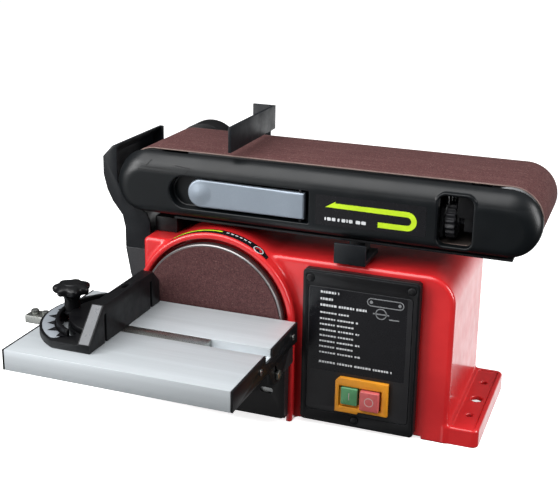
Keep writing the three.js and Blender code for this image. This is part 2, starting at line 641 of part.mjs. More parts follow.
function armControls() {
  const middle = (RECESS.bottom + RECESS.top) / 2;
  const tip = 14.5;
  const outline = new THREE.Shape();
  outline.moveTo(LEVER.right, middle - 13.2);
  outline.lineTo(LEVER.right, middle + 13.2);
  outline.absarc(LEVER.left + tip, middle, tip, Math.PI / 2, 1.5 * Math.PI);
  const blade = prism('y', outline, 20.5, 27.5, 1.5, 2, 8);
  const bore = rod('z', LEVER_PIN.r + GAP, [LEVER_PIN.x, LEVER_PIN.y], 200, 250, 12);
  add('tension_lever', cut(blade, bore), FINISH.leverGrey);

  add('tracking_knob', join(
    prism('x', lobed([KNOB.y, KNOB.z], KNOB.radius, 1.2, 22, 66), KNOB.x, KNOB.x + KNOB.width),
    rod('x', 6.5, [KNOB.y, KNOB.z], KNOB.x + KNOB.width - 1, KNOB.x + KNOB.width + 2, 6),
    rod('x', 3.2, [KNOB.y, KNOB.z], 216, 247, 10),
  ), FINISH.blackPlastic);
  add('arm_rest', join(
    block([122.5, 154], [14, 17], [176, 192.7]),
    block([122.5, 154], [14, 60], [BASE.top + GAP + 2, BASE.top + 7]),
    block([130, 146], [40, 60], [BASE.top + GAP, 192.7]),
  ), FINISH.blackPaint);
}

// ---------------------------------------------------------------- table

function tableOutline(withHollows) {
  const { front, back, bottom, top } = TABLE;
  const slotFront = SLOT.centre - SLOT.width / 2;
  const slotBack = SLOT.centre + SLOT.width / 2;
  const slotFloor = top - SLOT.depth;
  const under = top - TABLE_SKIN;
  const wall = 3;
  const surface = [[back, top], [slotBack, top], [slotBack, slotFloor], [slotFront, slotFloor],
    [slotFront, top], [front, top]];
  if (!withHollows) return polygon([[front, bottom], [back, bottom], ...surface]);
  return polygon([
    [front, bottom], [front + wall, bottom], [front + wall, under],
    [slotFront - wall, under], [slotFront - wall, slotFloor - wall],
    [slotBack + wall, slotFloor - wall], [slotBack + wall, under],
    [back - wall, under], [back - wall, bottom], [back, bottom], ...surface,
  ]);
}

function table() {
  const ends = [TABLE.left + CAP + GAP, TABLE.right - CAP - GAP];
  const holes = CAP_SCREWS_Y.map((y) => rod('x', 2, [y, CAP_SCREW_Z], -150, 120, 10));
  add('table_top', prism('x', tableOutline(true), ...ends), FINISH.aluminium);

  const caps = { left: [TABLE.left, TABLE.left + CAP], right: [TABLE.right - CAP, TABLE.right] };
  for (const [side, x] of Object.entries(caps)) {
    const cap = prism('x', tableOutline(false), ...x);
    add(`end_cap_${side}`, cut(cap, ...holes), FINISH.blackPlastic);
  }
  CAP_SCREWS_Y.forEach((y, i) => {
    const head = [TABLE.right + GAP, TABLE.right + 1.5];
    const piece = screw('x', [y, CAP_SCREW_Z], 3.2, head, 1.7, TABLE.right - CAP - 0.5);
    add(`cap_screw_${i + 1}`, piece, FINISH.steel);
  });
}

// The trunnion plates under the table, which turn on the guard's pins, and what clamps them.
function tiltMechanism() {
  const lockAngle = Math.atan2(LOCK.z - TILT.z, LOCK.y - TILT.y) + 2 * Math.PI;
  const lockRadius = Math.hypot(LOCK.y - TILT.y, LOCK.z - TILT.z);
  const slot = arcSlot([TILT.y, TILT.z], lockRadius, 3.1, lockAngle - TABLE_TILT - 0.08, lockAngle + 0.08);
  const trunnion = polygon([
    [-7, 109.2], [-64, 109.2], [-64, 84], [-52, 68], [-36, 65], [-20, 76], [-7, 90],
  ]);
  for (const [side, sign] of [['left', -1], ['right', 1]]) {
    const span = (inner, outer) => [sign * inner, sign * outer].sort((a, b) => a - b);
    const plateX = span(TRUNNION.inner, TRUNNION.outer);
    add(`trunnion_${side}`, cut(
      prism('x', trunnion, ...plateX),
      rod('x', 3.3, [TILT.y, TILT.z], plateX[0] - THROUGH, plateX[1] + THROUGH, 12),
      prism('x', slot, plateX[0] - THROUGH, plateX[1] + THROUGH, 0, 2, 5),
    ), FINISH.blackPaint);
  }
  const boltHead = [TRUNNION.outer + GAP, TRUNNION.outer + 2.9];
  add('table_lock_bolt', screw('x', [LOCK.y, LOCK.z], 5.5, boltHead, 2.7, 81, 6), FINISH.steel);

  const knobX = [-TRUNNION.outer - 14, -TRUNNION.outer - 5];
  add('table_lock_knob', join(
    prism('x', lobed([LOCK.y, LOCK.z], 11, 2.5, 6, 36), ...knobX, 1, 1),
    rod('x', 5.5, [LOCK.y, LOCK.z], knobX[1] - 0.5, -TRUNNION.outer - GAP, 16),
    rod('x', 2.7, [LOCK.y, LOCK.z], -TRUNNION.outer - 1, -81, 12),
  ), FINISH.blackPlastic);
}

// ---------------------------------------------------------------- mitre gauge

function gaugeHead() {
  const pivot = [GAUGE_PIVOT.x, GAUGE_PIVOT.y];
  const plate = rod('z', HEAD.radius, pivot, HEAD.bottom, HEAD.top, 64).intersect(
    block([-200, GAUGE_FENCE.right], [HEAD.front, HEAD.back], [0, 200]));
  const { left, right, front, back, top } = GAUGE_FENCE;
  const web = polygon([
    [HEAD.front, HEAD.bottom], [back, HEAD.bottom], [back, top - 14], [back - 14, top],
    [front, top], [HEAD.front, HEAD.top + 1],
  ]);
  const faceSlots = [-114, -24].map((y) => block(
    [right - 5, right + THROUGH], [y - 2, y + 2], [HEAD.bottom - THROUGH, 141]));
  const clampSlot = arcSlot(pivot, GAUGE_LOCK, 3.8, Math.PI - GAUGE_TURN - 0.05, Math.PI + GAUGE_TURN + 0.05);
  const topHole = prism('z', loop({ x: -59, z: -68 }, 2.5, { x: -59, z: -60 }, 2.5), 128, 160, 0, 2, 6);
  return cut(
    join(plate, prism('x', web, left, right)),
    prism('z', clampSlot, HEAD.bottom - THROUGH, HEAD.top + THROUGH, 0, 2, 8),
    rod('z', 3.3, pivot, 100, 124, 12),
    topHole,
    ...faceSlots,
  );
}

function mitreGauge() {
  const bar = GAUGE_BAR;
  const y = [SLOT.centre - bar.width / 2, SLOT.centre + bar.width / 2];
  const knobX = GAUGE_PIVOT.x - GAUGE_LOCK;
  const boltX = [-151, -141];
  add('gauge_bar', join(
    cut(
      block([bar.left, bar.right], y, [bar.bottom, bar.top]),
      rod('z', 3.3, [knobX, SLOT.centre], 100, 120, 12),
    ),
    rod('z', 3, [GAUGE_PIVOT.x, GAUGE_PIVOT.y], bar.top - 1, 123, 12),
  ), FINISH.aluminium);
  boltX.forEach((x, i) => {
    const height = [bar.top + GAP, bar.top + 4.3 - 1.5 * i];
    add(`bar_bolt_${i + 1}`, rod('z', 4, [x, SLOT.centre + 2 * i], ...height, 6), FINISH.steel);
  });

  add('gauge_head', gaugeHead(), FINISH.blackPlastic);
  const scaleOuter = HEAD.radius - 2;
  const angles = [Math.PI - 1.0, Math.PI + 1.0];
  const scale = prism('z',
    arcSlot([GAUGE_PIVOT.x, GAUGE_PIVOT.y], scaleOuter - 6, 5.5, ...angles),
    HEAD.top + GAP, HEAD.top + 0.8, 0, 2, 9);
  add('angle_scale', scale, FINISH.aluminium);

  add('gauge_knob', join(
    prism('z', lobed([knobX, SLOT.centre], 19.2, 4, 7, 42), 139, 151, 2.5, 1),
    rod('z', 8, [knobX, SLOT.centre], HEAD.top + GAP, 140, 16),
    rod('z', 3, [knobX, SLOT.centre], 106, HEAD.top + 1, 12),
  ), FINISH.blackPlastic);
}

// ---------------------------------------------------------------- assembly

base();
lowerDiscGuard();
switchPanel();
powerSwitch();
motor();
disc();
beltDrive();
pivotAndCovers();
leftGuard();
arm();
rollers();
armControls();
table();
tiltMechanism();
mitreGauge();

const bounds = new THREE.Box3().setFromObject(machine);
const middle = bounds.getCenter(new THREE.Vector3());
machine.position.set(-middle.x, -middle.y, -bounds.min.z);

const group = new THREE.Group();
group.add(machine);

export default group;
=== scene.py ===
"""Looks of the belt and disc sander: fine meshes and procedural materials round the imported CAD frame.

Lengths in this file are millimetres in the machine's own frame, unless a name says metres: X runs
right along the sanding belt, Y runs to the rear, X = 0 is the disc's centre, Y = 0 is the disc's
sanding face and Z = 0 is the bench. spot() turns such a point into metres in the row frame.
"""

import math

import bmesh
import bpy
import numpy as np
from mathutils import Matrix, Vector
from mathutils.geometry import tessellate_polygon


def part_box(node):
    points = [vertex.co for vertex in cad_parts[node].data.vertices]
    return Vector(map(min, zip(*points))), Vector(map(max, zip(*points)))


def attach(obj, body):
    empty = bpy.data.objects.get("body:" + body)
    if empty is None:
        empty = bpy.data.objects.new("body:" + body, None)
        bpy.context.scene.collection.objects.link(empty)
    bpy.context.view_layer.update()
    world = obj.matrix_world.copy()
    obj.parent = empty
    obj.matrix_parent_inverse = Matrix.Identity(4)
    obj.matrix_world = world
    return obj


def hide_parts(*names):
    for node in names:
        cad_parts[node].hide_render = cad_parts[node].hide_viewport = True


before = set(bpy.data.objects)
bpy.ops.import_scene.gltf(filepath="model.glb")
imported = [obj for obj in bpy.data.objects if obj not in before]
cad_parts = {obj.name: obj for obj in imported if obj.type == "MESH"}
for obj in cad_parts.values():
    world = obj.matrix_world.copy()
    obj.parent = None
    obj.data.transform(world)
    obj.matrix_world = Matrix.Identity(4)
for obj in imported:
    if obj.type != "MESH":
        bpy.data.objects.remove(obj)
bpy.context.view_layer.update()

# the two axes across each axis, then the axis itself
AXES = {"x": (1, 2, 0), "y": (0, 2, 1), "z": (0, 1, 2)}
CREASE = 32  # edges that turn by more degrees than this stay sharp

disc_low, disc_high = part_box("abrasive_disc")
ORIGIN = Vector(((disc_low.x + disc_high.x) / 2, disc_low.y, 0))
DISC_Z = (disc_low.z + disc_high.z) * 500
DISC_RADIUS = (disc_high.x - disc_low.x) * 500


def spot(point):
    return ORIGIN + Vector(point) / 1000


def span(node):
    """Lowest and highest corner of a CAD node, in millimetres in the machine's frame."""
    low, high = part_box(node)
    return (low - ORIGIN) * 1000, (high - ORIGIN) * 1000


def centre_of(node, axis):
    """The middle of a CAD node in the plane across an axis."""
    low, high = span(node)
    u, v, _ = AXES[axis]
    return (low[u] + high[u]) / 2, (low[v] + high[v]) / 2


# ---- materials


class Look:
    """A principled material and the few nodes that every finish here is made of."""

    def __init__(self, name, roughness, **constants):
        self.material = bpy.data.materials.new(name)
        self.material.use_nodes = True
        self.tree = self.material.node_tree
        self.shader = self.tree.nodes["Principled BSDF"]
        self.shader.inputs["Roughness"].default_value = roughness
        for socket, value in constants.items():
            self.shader.inputs[socket.replace("_", " ")].default_value = value
        self.where = self.node("ShaderNodeTexCoord").outputs["Object"]
        self.normal = None

    def node(self, kind, **settings):
        made = self.tree.nodes.new(kind)
        for key, value in settings.items():
            setattr(made, key, value)
        return made

    def put(self, node, values):
        """Sets constants on a node's inputs, by name."""
        for socket, value in values.items():
            node.inputs[socket].default_value = value

    def set(self, socket, value):
        """Links a node's output to a socket, or sets a constant on it."""
        if isinstance(value, bpy.types.NodeSocket):
            self.tree.links.new(value, socket)
        else:
            socket.default_value = value

    def stretched(self, scale):
        mapping = self.node("ShaderNodeMapping")
        self.set(mapping.inputs["Vector"], self.where)
        mapping.inputs["Scale"].default_value = scale
        return mapping.outputs["Vector"]

    def noise(self, size_mm, detail=3.0, rough=0.55, stretch=(1, 1, 1)):
        noise = self.node("ShaderNodeTexNoise")
        self.set(noise.inputs["Vector"], self.stretched(stretch))
        self.put(noise, {"Scale": 1000 / size_mm, "Detail": detail, "Roughness": rough})
        return noise.outputs["Fac"]

    def spread(self, value, low, high, from_low=0.35, from_high=0.65):
        """Maps a noise onto a range of values."""
        ranged = self.node("ShaderNodeMapRange")
        self.set(ranged.inputs["Value"], value)
        self.put(ranged, {"From Min": from_low, "From Max": from_high, "To Min": low, "To Max": high})
        return ranged.outputs["Result"]

    def blend(self, share, first, second):
        mix = self.node("ShaderNodeMix", data_type="RGBA")
        self.set(mix.inputs["Factor"], share)
        self.set(mix.inputs["A"], first)
        self.set(mix.inputs["B"], second)
        return mix.outputs["Result"]

    def edges(self, reach_mm=0.7):
        """1 along sharp edges, broken up by wear, and 0 elsewhere: paler edges, partly wear and partly a
        painted highlight.
        """
        rounded = self.node("ShaderNodeBevel", samples=4)
        rounded.inputs["Radius"].default_value = reach_mm / 1000
        agreement = self.node("ShaderNodeVectorMath", operation="DOT_PRODUCT")
        self.set(agreement.inputs[0], rounded.outputs["Normal"])
        self.set(agreement.inputs[1], self.node("ShaderNodeNewGeometry").outputs["Normal"])
        edge = self.spread(agreement.outputs["Value"], 0.0, 1.0, 0.99, 0.9)
        wear_and_highlight = self.node("ShaderNodeMath", operation="MULTIPLY")
        self.set(wear_and_highlight.inputs[0], edge)
        self.set(wear_and_highlight.inputs[1], self.spread(self.noise(6.0, 4.0), 0.25, 1.0))
        return wear_and_highlight.outputs["Value"]

    def bump(self, height, depth_mm, strength=1.0):
        bump = self.node("ShaderNodeBump")
        self.set(bump.inputs["Height"], height)
        bump.inputs["Distance"].default_value = depth_mm / 1000
        bump.inputs["Strength"].default_value = strength
        if self.normal:
            self.set(bump.inputs["Normal"], self.normal)
        self.normal = bump.outputs["Normal"]
        self.set(self.shader.inputs["Normal"], self.normal)

    def colour(self, value):
        self.set(self.shader.inputs["Base Color"], value)

    def roughness(self, value):
        self.set(self.shader.inputs["Roughness"], value)


def rgb(red, green, blue):
    """A colour given as it looks on a screen, 0 to 255, as the linear colour that shaders use."""
    scaled = [channel / 255 for channel in (red, green, blue)]
    return [c / 12.92 if c < 0.04045 else ((c + 0.055) / 1.055) ** 2.4 for c in scaled] + [1.0]


def red_paint():
    """Gloss paint over a casting: a faint orange peel, and paler on edges, partly where the paint is thin
    and partly a painted highlight.
    """
    look = Look("red_paint", 0.3, Coat_Weight=0.4, Coat_Roughness=0.1)
    patches = look.spread(look.noise(60), 0.0, 1.0)
    body = look.blend(patches, rgb(204, 39, 41), rgb(188, 29, 33))
    look.colour(look.blend(look.edges(1.0), body, rgb(224, 76, 74)))
    look.roughness(look.spread(look.noise(20, 2.0), 0.28, 0.36))
    look.bump(look.noise(1.8, 1.0), 0.03, 0.6)
    look.bump(look.noise(0.8, 1.0), 0.015, 0.5)
    return look.material


def moulded(name, colour, wear_and_highlight, roughness, grain_mm=0.9, depth_mm=0.03, gloss=0.3):
    """Moulded plastic: a fine leather-like grain, handling marks and paler edges, partly wear and partly
    a painted highlight.
    """
    look = Look(name, roughness, Specular_IOR_Level=gloss)
    marks = look.spread(look.noise(30), 0.0, 1.0)
    base = look.blend(marks, colour, [0.75 * c for c in colour[:3]] + [1.0])
    look.colour(look.blend(look.edges(), base, wear_and_highlight))
    look.roughness(look.spread(look.noise(40, 2.0), roughness - 0.03, roughness + 0.05))
    look.bump(look.noise(grain_mm, 2.0), depth_mm, 0.5)
    return look.material


def powder_coat(name, colour, wear_and_highlight, roughness=0.5, gloss=0.3):
    """Powder coat on sheet steel: a pebbled surface with speckles of lighter dust, and paler edges,
    partly wear and partly a painted highlight.
    """
    look = Look(name, roughness, Specular_IOR_Level=gloss)
    dust = look.spread(look.noise(0.8, 4.0), 0.0, 0.2, 0.5, 0.75)
    base = look.blend(dust, colour, wear_and_highlight)
    look.colour(look.blend(look.edges(), base, wear_and_highlight))
    look.roughness(look.spread(look.noise(18), roughness - 0.08, roughness + 0.1))
    look.bump(look.noise(1.3, 3.0), 0.05, 0.5)
    return look.material


def metal(name, colour, roughness, stretch=(1, 1, 1), grain_mm=0.5, depth_mm=0.01, dull=0.82,
          bare=1.0, bands_mm=45):
    """Metal with a grain drawn out along one axis and dulled patches; bare is 1 with no oxide."""
    look = Look(name, roughness, Metallic=bare)
    lines = look.noise(grain_mm, 3.0, 0.6, stretch)
    patches = look.spread(look.noise(bands_mm, 4.0, 0.5, stretch), 0.0, 1.0)
    toned = [dull * c for c in colour[:3]] + [1.0]
    base = look.blend(look.spread(lines, 0.0, 0.5), colour, toned)
    look.colour(look.blend(patches, base, toned))
    look.roughness(look.spread(lines, roughness - 0.07, roughness + 0.1))
    look.bump(lines, depth_mm, 0.6)
    return look.material


def abrasive(name, dark, light, pale, streak):
    """Coated grit: packed grains over a bonded sheet, with streaks worn along the way it runs."""
    look = Look(name, 0.92, Specular_IOR_Level=0.2)
    grains = look.noise(1.1, 4.0, 0.75)
    base = look.blend(look.spread(grains, 0.0, 1.0, 0.38, 0.62), dark, light)
    sparks = look.spread(look.noise(1.9, 3.0, 0.8), 0.0, 0.7, 0.58, 0.7)
    base = look.blend(sparks, base, pale)
    streaks = look.spread(look.noise(5.0, 3.0, 0.6, streak), 0.0, 0.16, 0.45, 0.8)
    look.colour(look.blend(streaks, base, pale))
    look.roughness(look.spread(grains, 0.8, 1.0))
    look.bump(grains, 0.35, 0.8)
    return look


def belt_cloth():
    """The belt's grit, with both edges frayed down to the backing cloth."""
    look = abrasive("belt_grit", rgb(58, 34, 35), rgb(98, 63, 62), rgb(140, 108, 103), (0.12, 1, 1))
    low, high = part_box("sanding_belt")
    split = look.node("ShaderNodeSeparateXYZ")
    look.set(split.inputs["Vector"], look.where)
    middle, half = (low.y + high.y) / 2, (high.y - low.y) / 2
    away = look.node("ShaderNodeMath", operation="SUBTRACT")
    look.set(away.inputs[0], split.outputs["Y"])
    away.inputs[1].default_value = middle
    across = look.node("ShaderNodeMath", operation="ABSOLUTE")
    look.set(across.inputs[0], away.outputs[0])
    ragged = look.node("ShaderNodeMath", operation="MULTIPLY_ADD")
    look.set(ragged.inputs[0], look.noise(7.0, 4.0, 0.7))
    ragged.inputs[1].default_value = 0.0018
    look.set(ragged.inputs[2], across.outputs[0])
    frayed = look.spread(ragged.outputs[0], 0.0, 1.0, half - 0.0003, half + 0.0009)
    grit = look.shader.inputs["Base Color"].links[0].from_socket
    look.colour(look.blend(frayed, grit, rgb(128, 110, 104)))
    return look.material


def plain(name, colour, roughness, grain_mm=1.2, depth_mm=0.02, **constants):
    """A smooth coloured finish with faint mottling."""
    look = Look(name, roughness, **constants)
    tone = look.spread(look.noise(8, 4.0), 0.0, 1.0)
    look.colour(look.blend(tone, colour, [0.88 * c for c in colour[:3]] + [1.0]))
    look.roughness(look.spread(look.noise(5), roughness - 0.05, roughness + 0.07))
    look.bump(look.noise(grain_mm, 2.0), depth_mm, 0.4)
    return look.material


RED = red_paint()
COVER_BLACK = moulded("cover_plastic", rgb(8, 12, 15), rgb(36, 42, 47), 0.36, 0.7, 0.008, gloss=0.32)
BLACK = moulded("black_plastic", rgb(13, 13, 15), rgb(44, 46, 49), 0.38, gloss=0.25)
PANEL_BLACK = moulded("panel_plastic", rgb(17, 17, 19), rgb(52, 54, 57), 0.42, 0.6, 0.04)
WHEEL = moulded("wheel_plastic", rgb(44, 44, 47), rgb(84, 86, 90), 0.42)
PANEL_FIELD = moulded("panel_field", rgb(38, 38, 40), rgb(62, 64, 67), 0.5, 0.6, 0.04)
CAST_BLACK = powder_coat("cast_black", rgb(8, 8, 10), rgb(30, 32, 35), 0.42, 0.2)
BLACK_PAINT = powder_coat("black_paint", rgb(14, 14, 16), rgb(46, 48, 51), 0.42)
SLATE = powder_coat("slate_paint", rgb(10, 13, 17), rgb(40, 46, 52), 0.45, 0.28)
GREY_PAINT = powder_coat("grey_paint", rgb(42, 43, 45), rgb(84, 88, 92), 0.5)
MOTOR_GREY = powder_coat("motor_grey", rgb(78, 81, 84), rgb(120, 123, 126), 0.5)
TABLE_METAL = metal(
    "table_aluminium", rgb(206, 212, 216), 0.46, (0.012, 1, 1), 0.5, 0.012, 0.87, bare=0.5,
    bands_mm=14)
CAST_METAL = metal("cast_aluminium", rgb(190, 192, 194), 0.42, (1, 1, 1), 1.2, 0.03)
POLISHED = metal("turned_rim", rgb(150, 148, 148), 0.4, (1, 0.05, 1), 0.6, 0.01, 0.9)
STEEL = metal("zinc_steel", rgb(180, 182, 178), 0.3, (1, 1, 1), 0.9, 0.015)
LEVER = metal("lever_paint", rgb(150, 160, 171), 0.5, (1, 1, 1), 0.5, 0.015, 0.93, bare=0.8)
COPPER = metal("copper_windings", rgb(176, 96, 52), 0.4, (1, 0.1, 1), 0.9, 0.2)
BELT_GRIT = belt_cloth()
DISC_GRIT = abrasive(
    "disc_grit", rgb(56, 33, 35), rgb(86, 55, 55), rgb(116, 86, 82), (1, 1, 1)).material
# the belt's backing cloth, darkened as painted shade: it is seen only inside the cover
SHADED_BACKING = plain("belt_backing_painted_shade", rgb(44, 36, 32), 0.9, 0.5, 0.1)
RUBBER = plain("rubber", rgb(20, 20, 21), 0.7, 1.5, 0.05, Specular_IOR_Level=0.3)
# a bright metal used only behind the lower guard's slot, as painted light seen through it
PAINTED_LIGHT_METAL = metal("painted_light_metal", rgb(226, 228, 228), 0.4, (1, 1, 1), 0.7, 0.01, 0.94, bare=0.3)
YELLOW = plain("yellow_plastic", rgb(226, 148, 34), 0.36)
GREEN = plain("green_plastic", rgb(92, 152, 106), 0.32)
STOP_RED = plain("red_plastic", rgb(200, 96, 96), 0.32)
LIME = plain("lime_print", rgb(190, 224, 28), 0.45)
KEY_PRINT = plain("key_print", rgb(196, 176, 172), 0.45)
DIM_PRINT = plain("dim_print", rgb(128, 130, 132), 0.5)
WHITE_PRINT = plain("white_print", rgb(206, 208, 210), 0.5)
RED_PRINT = plain("red_print", rgb(176, 34, 38), 0.45)
LABEL = plain("label_film", rgb(20, 20, 23), 0.22, 2.5, 0.006, Specular_IOR_Level=0.35)
SLOPE_FACE = plain("worn_slope", rgb(84, 86, 90), 0.32, 0.8, 0.01)
GUARD_BLACK = powder_coat("guard_black", rgb(32, 31, 32), rgb(66, 66, 68), 0.5)
SCALE_PLATE = metal("scale_plate", rgb(150, 156, 163), 0.42, (1, 1, 1), 0.6, 0.01, 0.92, bare=0.3)

# ---- outlines


def arc(centre, radius, start, end, steps):
    """Points on a circle, angles in degrees."""
    angles = np.radians(np.linspace(start, end, steps + 1))
    return [(centre[0] + radius * math.cos(a), centre[1] + radius * math.sin(a)) for a in angles]


def circle(centre, radius, steps=48):
    return arc(centre, radius, 0, 360, steps)[:-1]


def rectangle(low, high, radius=0.0, steps=6):
    """A rectangle in two dimensions, its corners rounded."""
    if not radius:
        return [(low[0], low[1]), (high[0], low[1]), (high[0], high[1]), (low[0], high[1])]
    corners = [
        ((high[0] - radius, low[1] + radius), -90),
        ((high[0] - radius, high[1] - radius), 0),
        ((low[0] + radius, high[1] - radius), 90),
        ((low[0] + radius, low[1] + radius), 180),
    ]
    return [p for centre, turn in corners for p in arc(centre, radius, turn, turn + 90, steps)]


def stadium(first, second, radius, steps=24):
    """The outline of a belt pulled tight round two equal circles."""
    along = math.degrees(math.atan2(second[1] - first[1], second[0] - first[0]))
    return (arc(first, radius, along + 90, along + 270, steps)
            + arc(second, radius, along - 90, along + 90, steps))


def bent_slot(centre, radius, half_width, start, end, steps=24):
    """A slot bent round a centre, angles in degrees."""
    return (arc(centre, radius + half_width, start, end, steps)
            + arc(arc(centre, radius, end, end, 1)[0], half_width, end, end + 180, 8)[1:-1]
            + arc(centre, radius - half_width, end, start, steps)
            + arc(arc(centre, radius, start, start, 1)[0], half_width, start + 180, start + 360, 8)[1:-1])


def lobes(centre, radius, depth, count, steps):
    """A round outline with that many lobes or ribs."""
    points = []
    for i in range(steps):
        angle = 2 * math.pi * i / steps
        reach = radius - depth * (0.5 - 0.5 * math.cos(count * angle))
        points.append((centre[0] + reach * math.cos(angle), centre[1] + reach * math.sin(angle)))
    return points


# ---- meshes


def piece(name, mesh, look, body, replaces=()):
    """Makes a mesh, whose points are millimetres in the machine's frame, a piece of the object."""
    mesh.transform(Matrix.Translation(ORIGIN) @ Matrix.Scale(0.001, 4))
    mesh.materials.append(look)
    mesh.name = name
    made = bpy.data.objects.new(name, mesh)
    bpy.context.scene.collection.objects.link(made)
    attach(made, body)
    if replaces:
        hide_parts(*replaces)
    return made


def to_mesh(work, sharp=CREASE):
    bmesh.ops.recalc_face_normals(work, faces=work.faces[:])
    mesh = bpy.data.meshes.new("shape")
    work.to_mesh(mesh)
    work.free()
    mesh.shade_smooth()
    mesh.set_sharp_from_angle(angle=math.radians(sharp))
    return mesh


def placed(axis, u, v, along):
    a, b, c = AXES[axis]
    point = [0.0, 0.0, 0.0]
    point[a], point[b], point[c] = u, v, along
    return point


def prism(axis, outlines, low, high, edge=0.0):
    """A flat outline, with holes if more follow, made solid from low to high along an axis."""
    work = bmesh.new()
    ends = []
    for along in (low, high):
        ends.append([[work.verts.new(placed(axis, u, v, along)) for u, v in outline]
                     for outline in outlines])
    flat = [[Vector((u, v, 0)) for u, v in outline] for outline in outlines]
    for rings in ends:
        corners = [vert for ring in rings for vert in ring]
        for triangle in tessellate_polygon(flat):
            work.faces.new([corners[i] for i in triangle])
    for near, far in zip(*ends):
        for i in range(len(near)):
            work.faces.new((near[i - 1], near[i], far[i], far[i - 1]))
    bmesh.ops.recalc_face_normals(work, faces=work.faces[:])
    bmesh.ops.dissolve_limit(work, angle_limit=1e-3, verts=[], edges=work.edges[:],
                             use_dissolve_boundaries=False, delimit=set())
    if edge:
        rims = [e for e in work.edges if e.calc_face_angle(0) > math.radians(CREASE)]
        bmesh.ops.bevel(work, geom=rims, offset=edge, segments=3, profile=0.5, affect="EDGES",
                        clamp_overlap=True)
    return to_mesh(work)


def skin(rings, sharp=CREASE):
    """A closed surface drawn through rings that have the same number of points."""
    work = bmesh.new()
    made = [[work.verts.new(point) for point in ring] for ring in rings]
    for near, far in zip(made, made[1:]):
        for i in range(len(near)):
            work.faces.new((near[i - 1], near[i], far[i], far[i - 1]))
    work.faces.new(made[0])
    work.faces.new(made[-1])
    return to_mesh(work, sharp)


def turned(axis, centre, profile, steps=64, sharp=CREASE):
    """A solid of revolution from (radius, place along the axis) pairs."""
    rings = [[placed(axis, u, v, along) for u, v in circle(centre, radius, steps)]
             for radius, along in profile]
    return skin(rings, sharp=sharp)


def join(*meshes):
    work = bmesh.new()
    for mesh in meshes:
        work.from_mesh(mesh)
        bpy.data.meshes.remove(mesh)
    return to_mesh(work)


# ---- soft solids
#
# A cast or moulded shape is given as a distance function: negative inside, positive outside.
# x, y and z are arrays that broadcast against each other.


def ball(*offsets):
    return np.sqrt(sum(np.square(o) for o in offsets))


def both(first, second, radius=0.0):
    """Where two solids overlap, the edge between them rounded."""
    if np.ndim(radius) == 0 and radius == 0:
        return np.maximum(first, second)
    round_part = ball(np.maximum(first + radius, 0), np.maximum(second + radius, 0))
    return np.minimum(-radius, np.maximum(first, second)) + round_part


def either(first, second, radius=0.0):
    """Two solids joined, with a fillet between them."""
    return -both(-first, -second, radius)


def without(first, second, radius=0.0):
    return both(first, -second, radius)


def slab(value, low, high):
    return np.abs(value - (low + high) / 2) - (high - low) / 2


def flat_box(u, v, low, high, radius=0.0):
    """A rectangle's distance in two dimensions, its corners rounded."""
    from_u = slab(u, low[0], high[0]) + radius
    from_v = slab(v, low[1], high[1]) + radius
    outside = ball(np.maximum(from_u, 0), np.maximum(from_v, 0))
    return outside + np.minimum(np.maximum(from_u, from_v), 0) - radius


def capsule(u, v, left, right, height, radius):
    """A stadium's distance, its two ends at the same height."""
    over = u - np.clip(u, left, right)
    return ball(over, v - height) - radius


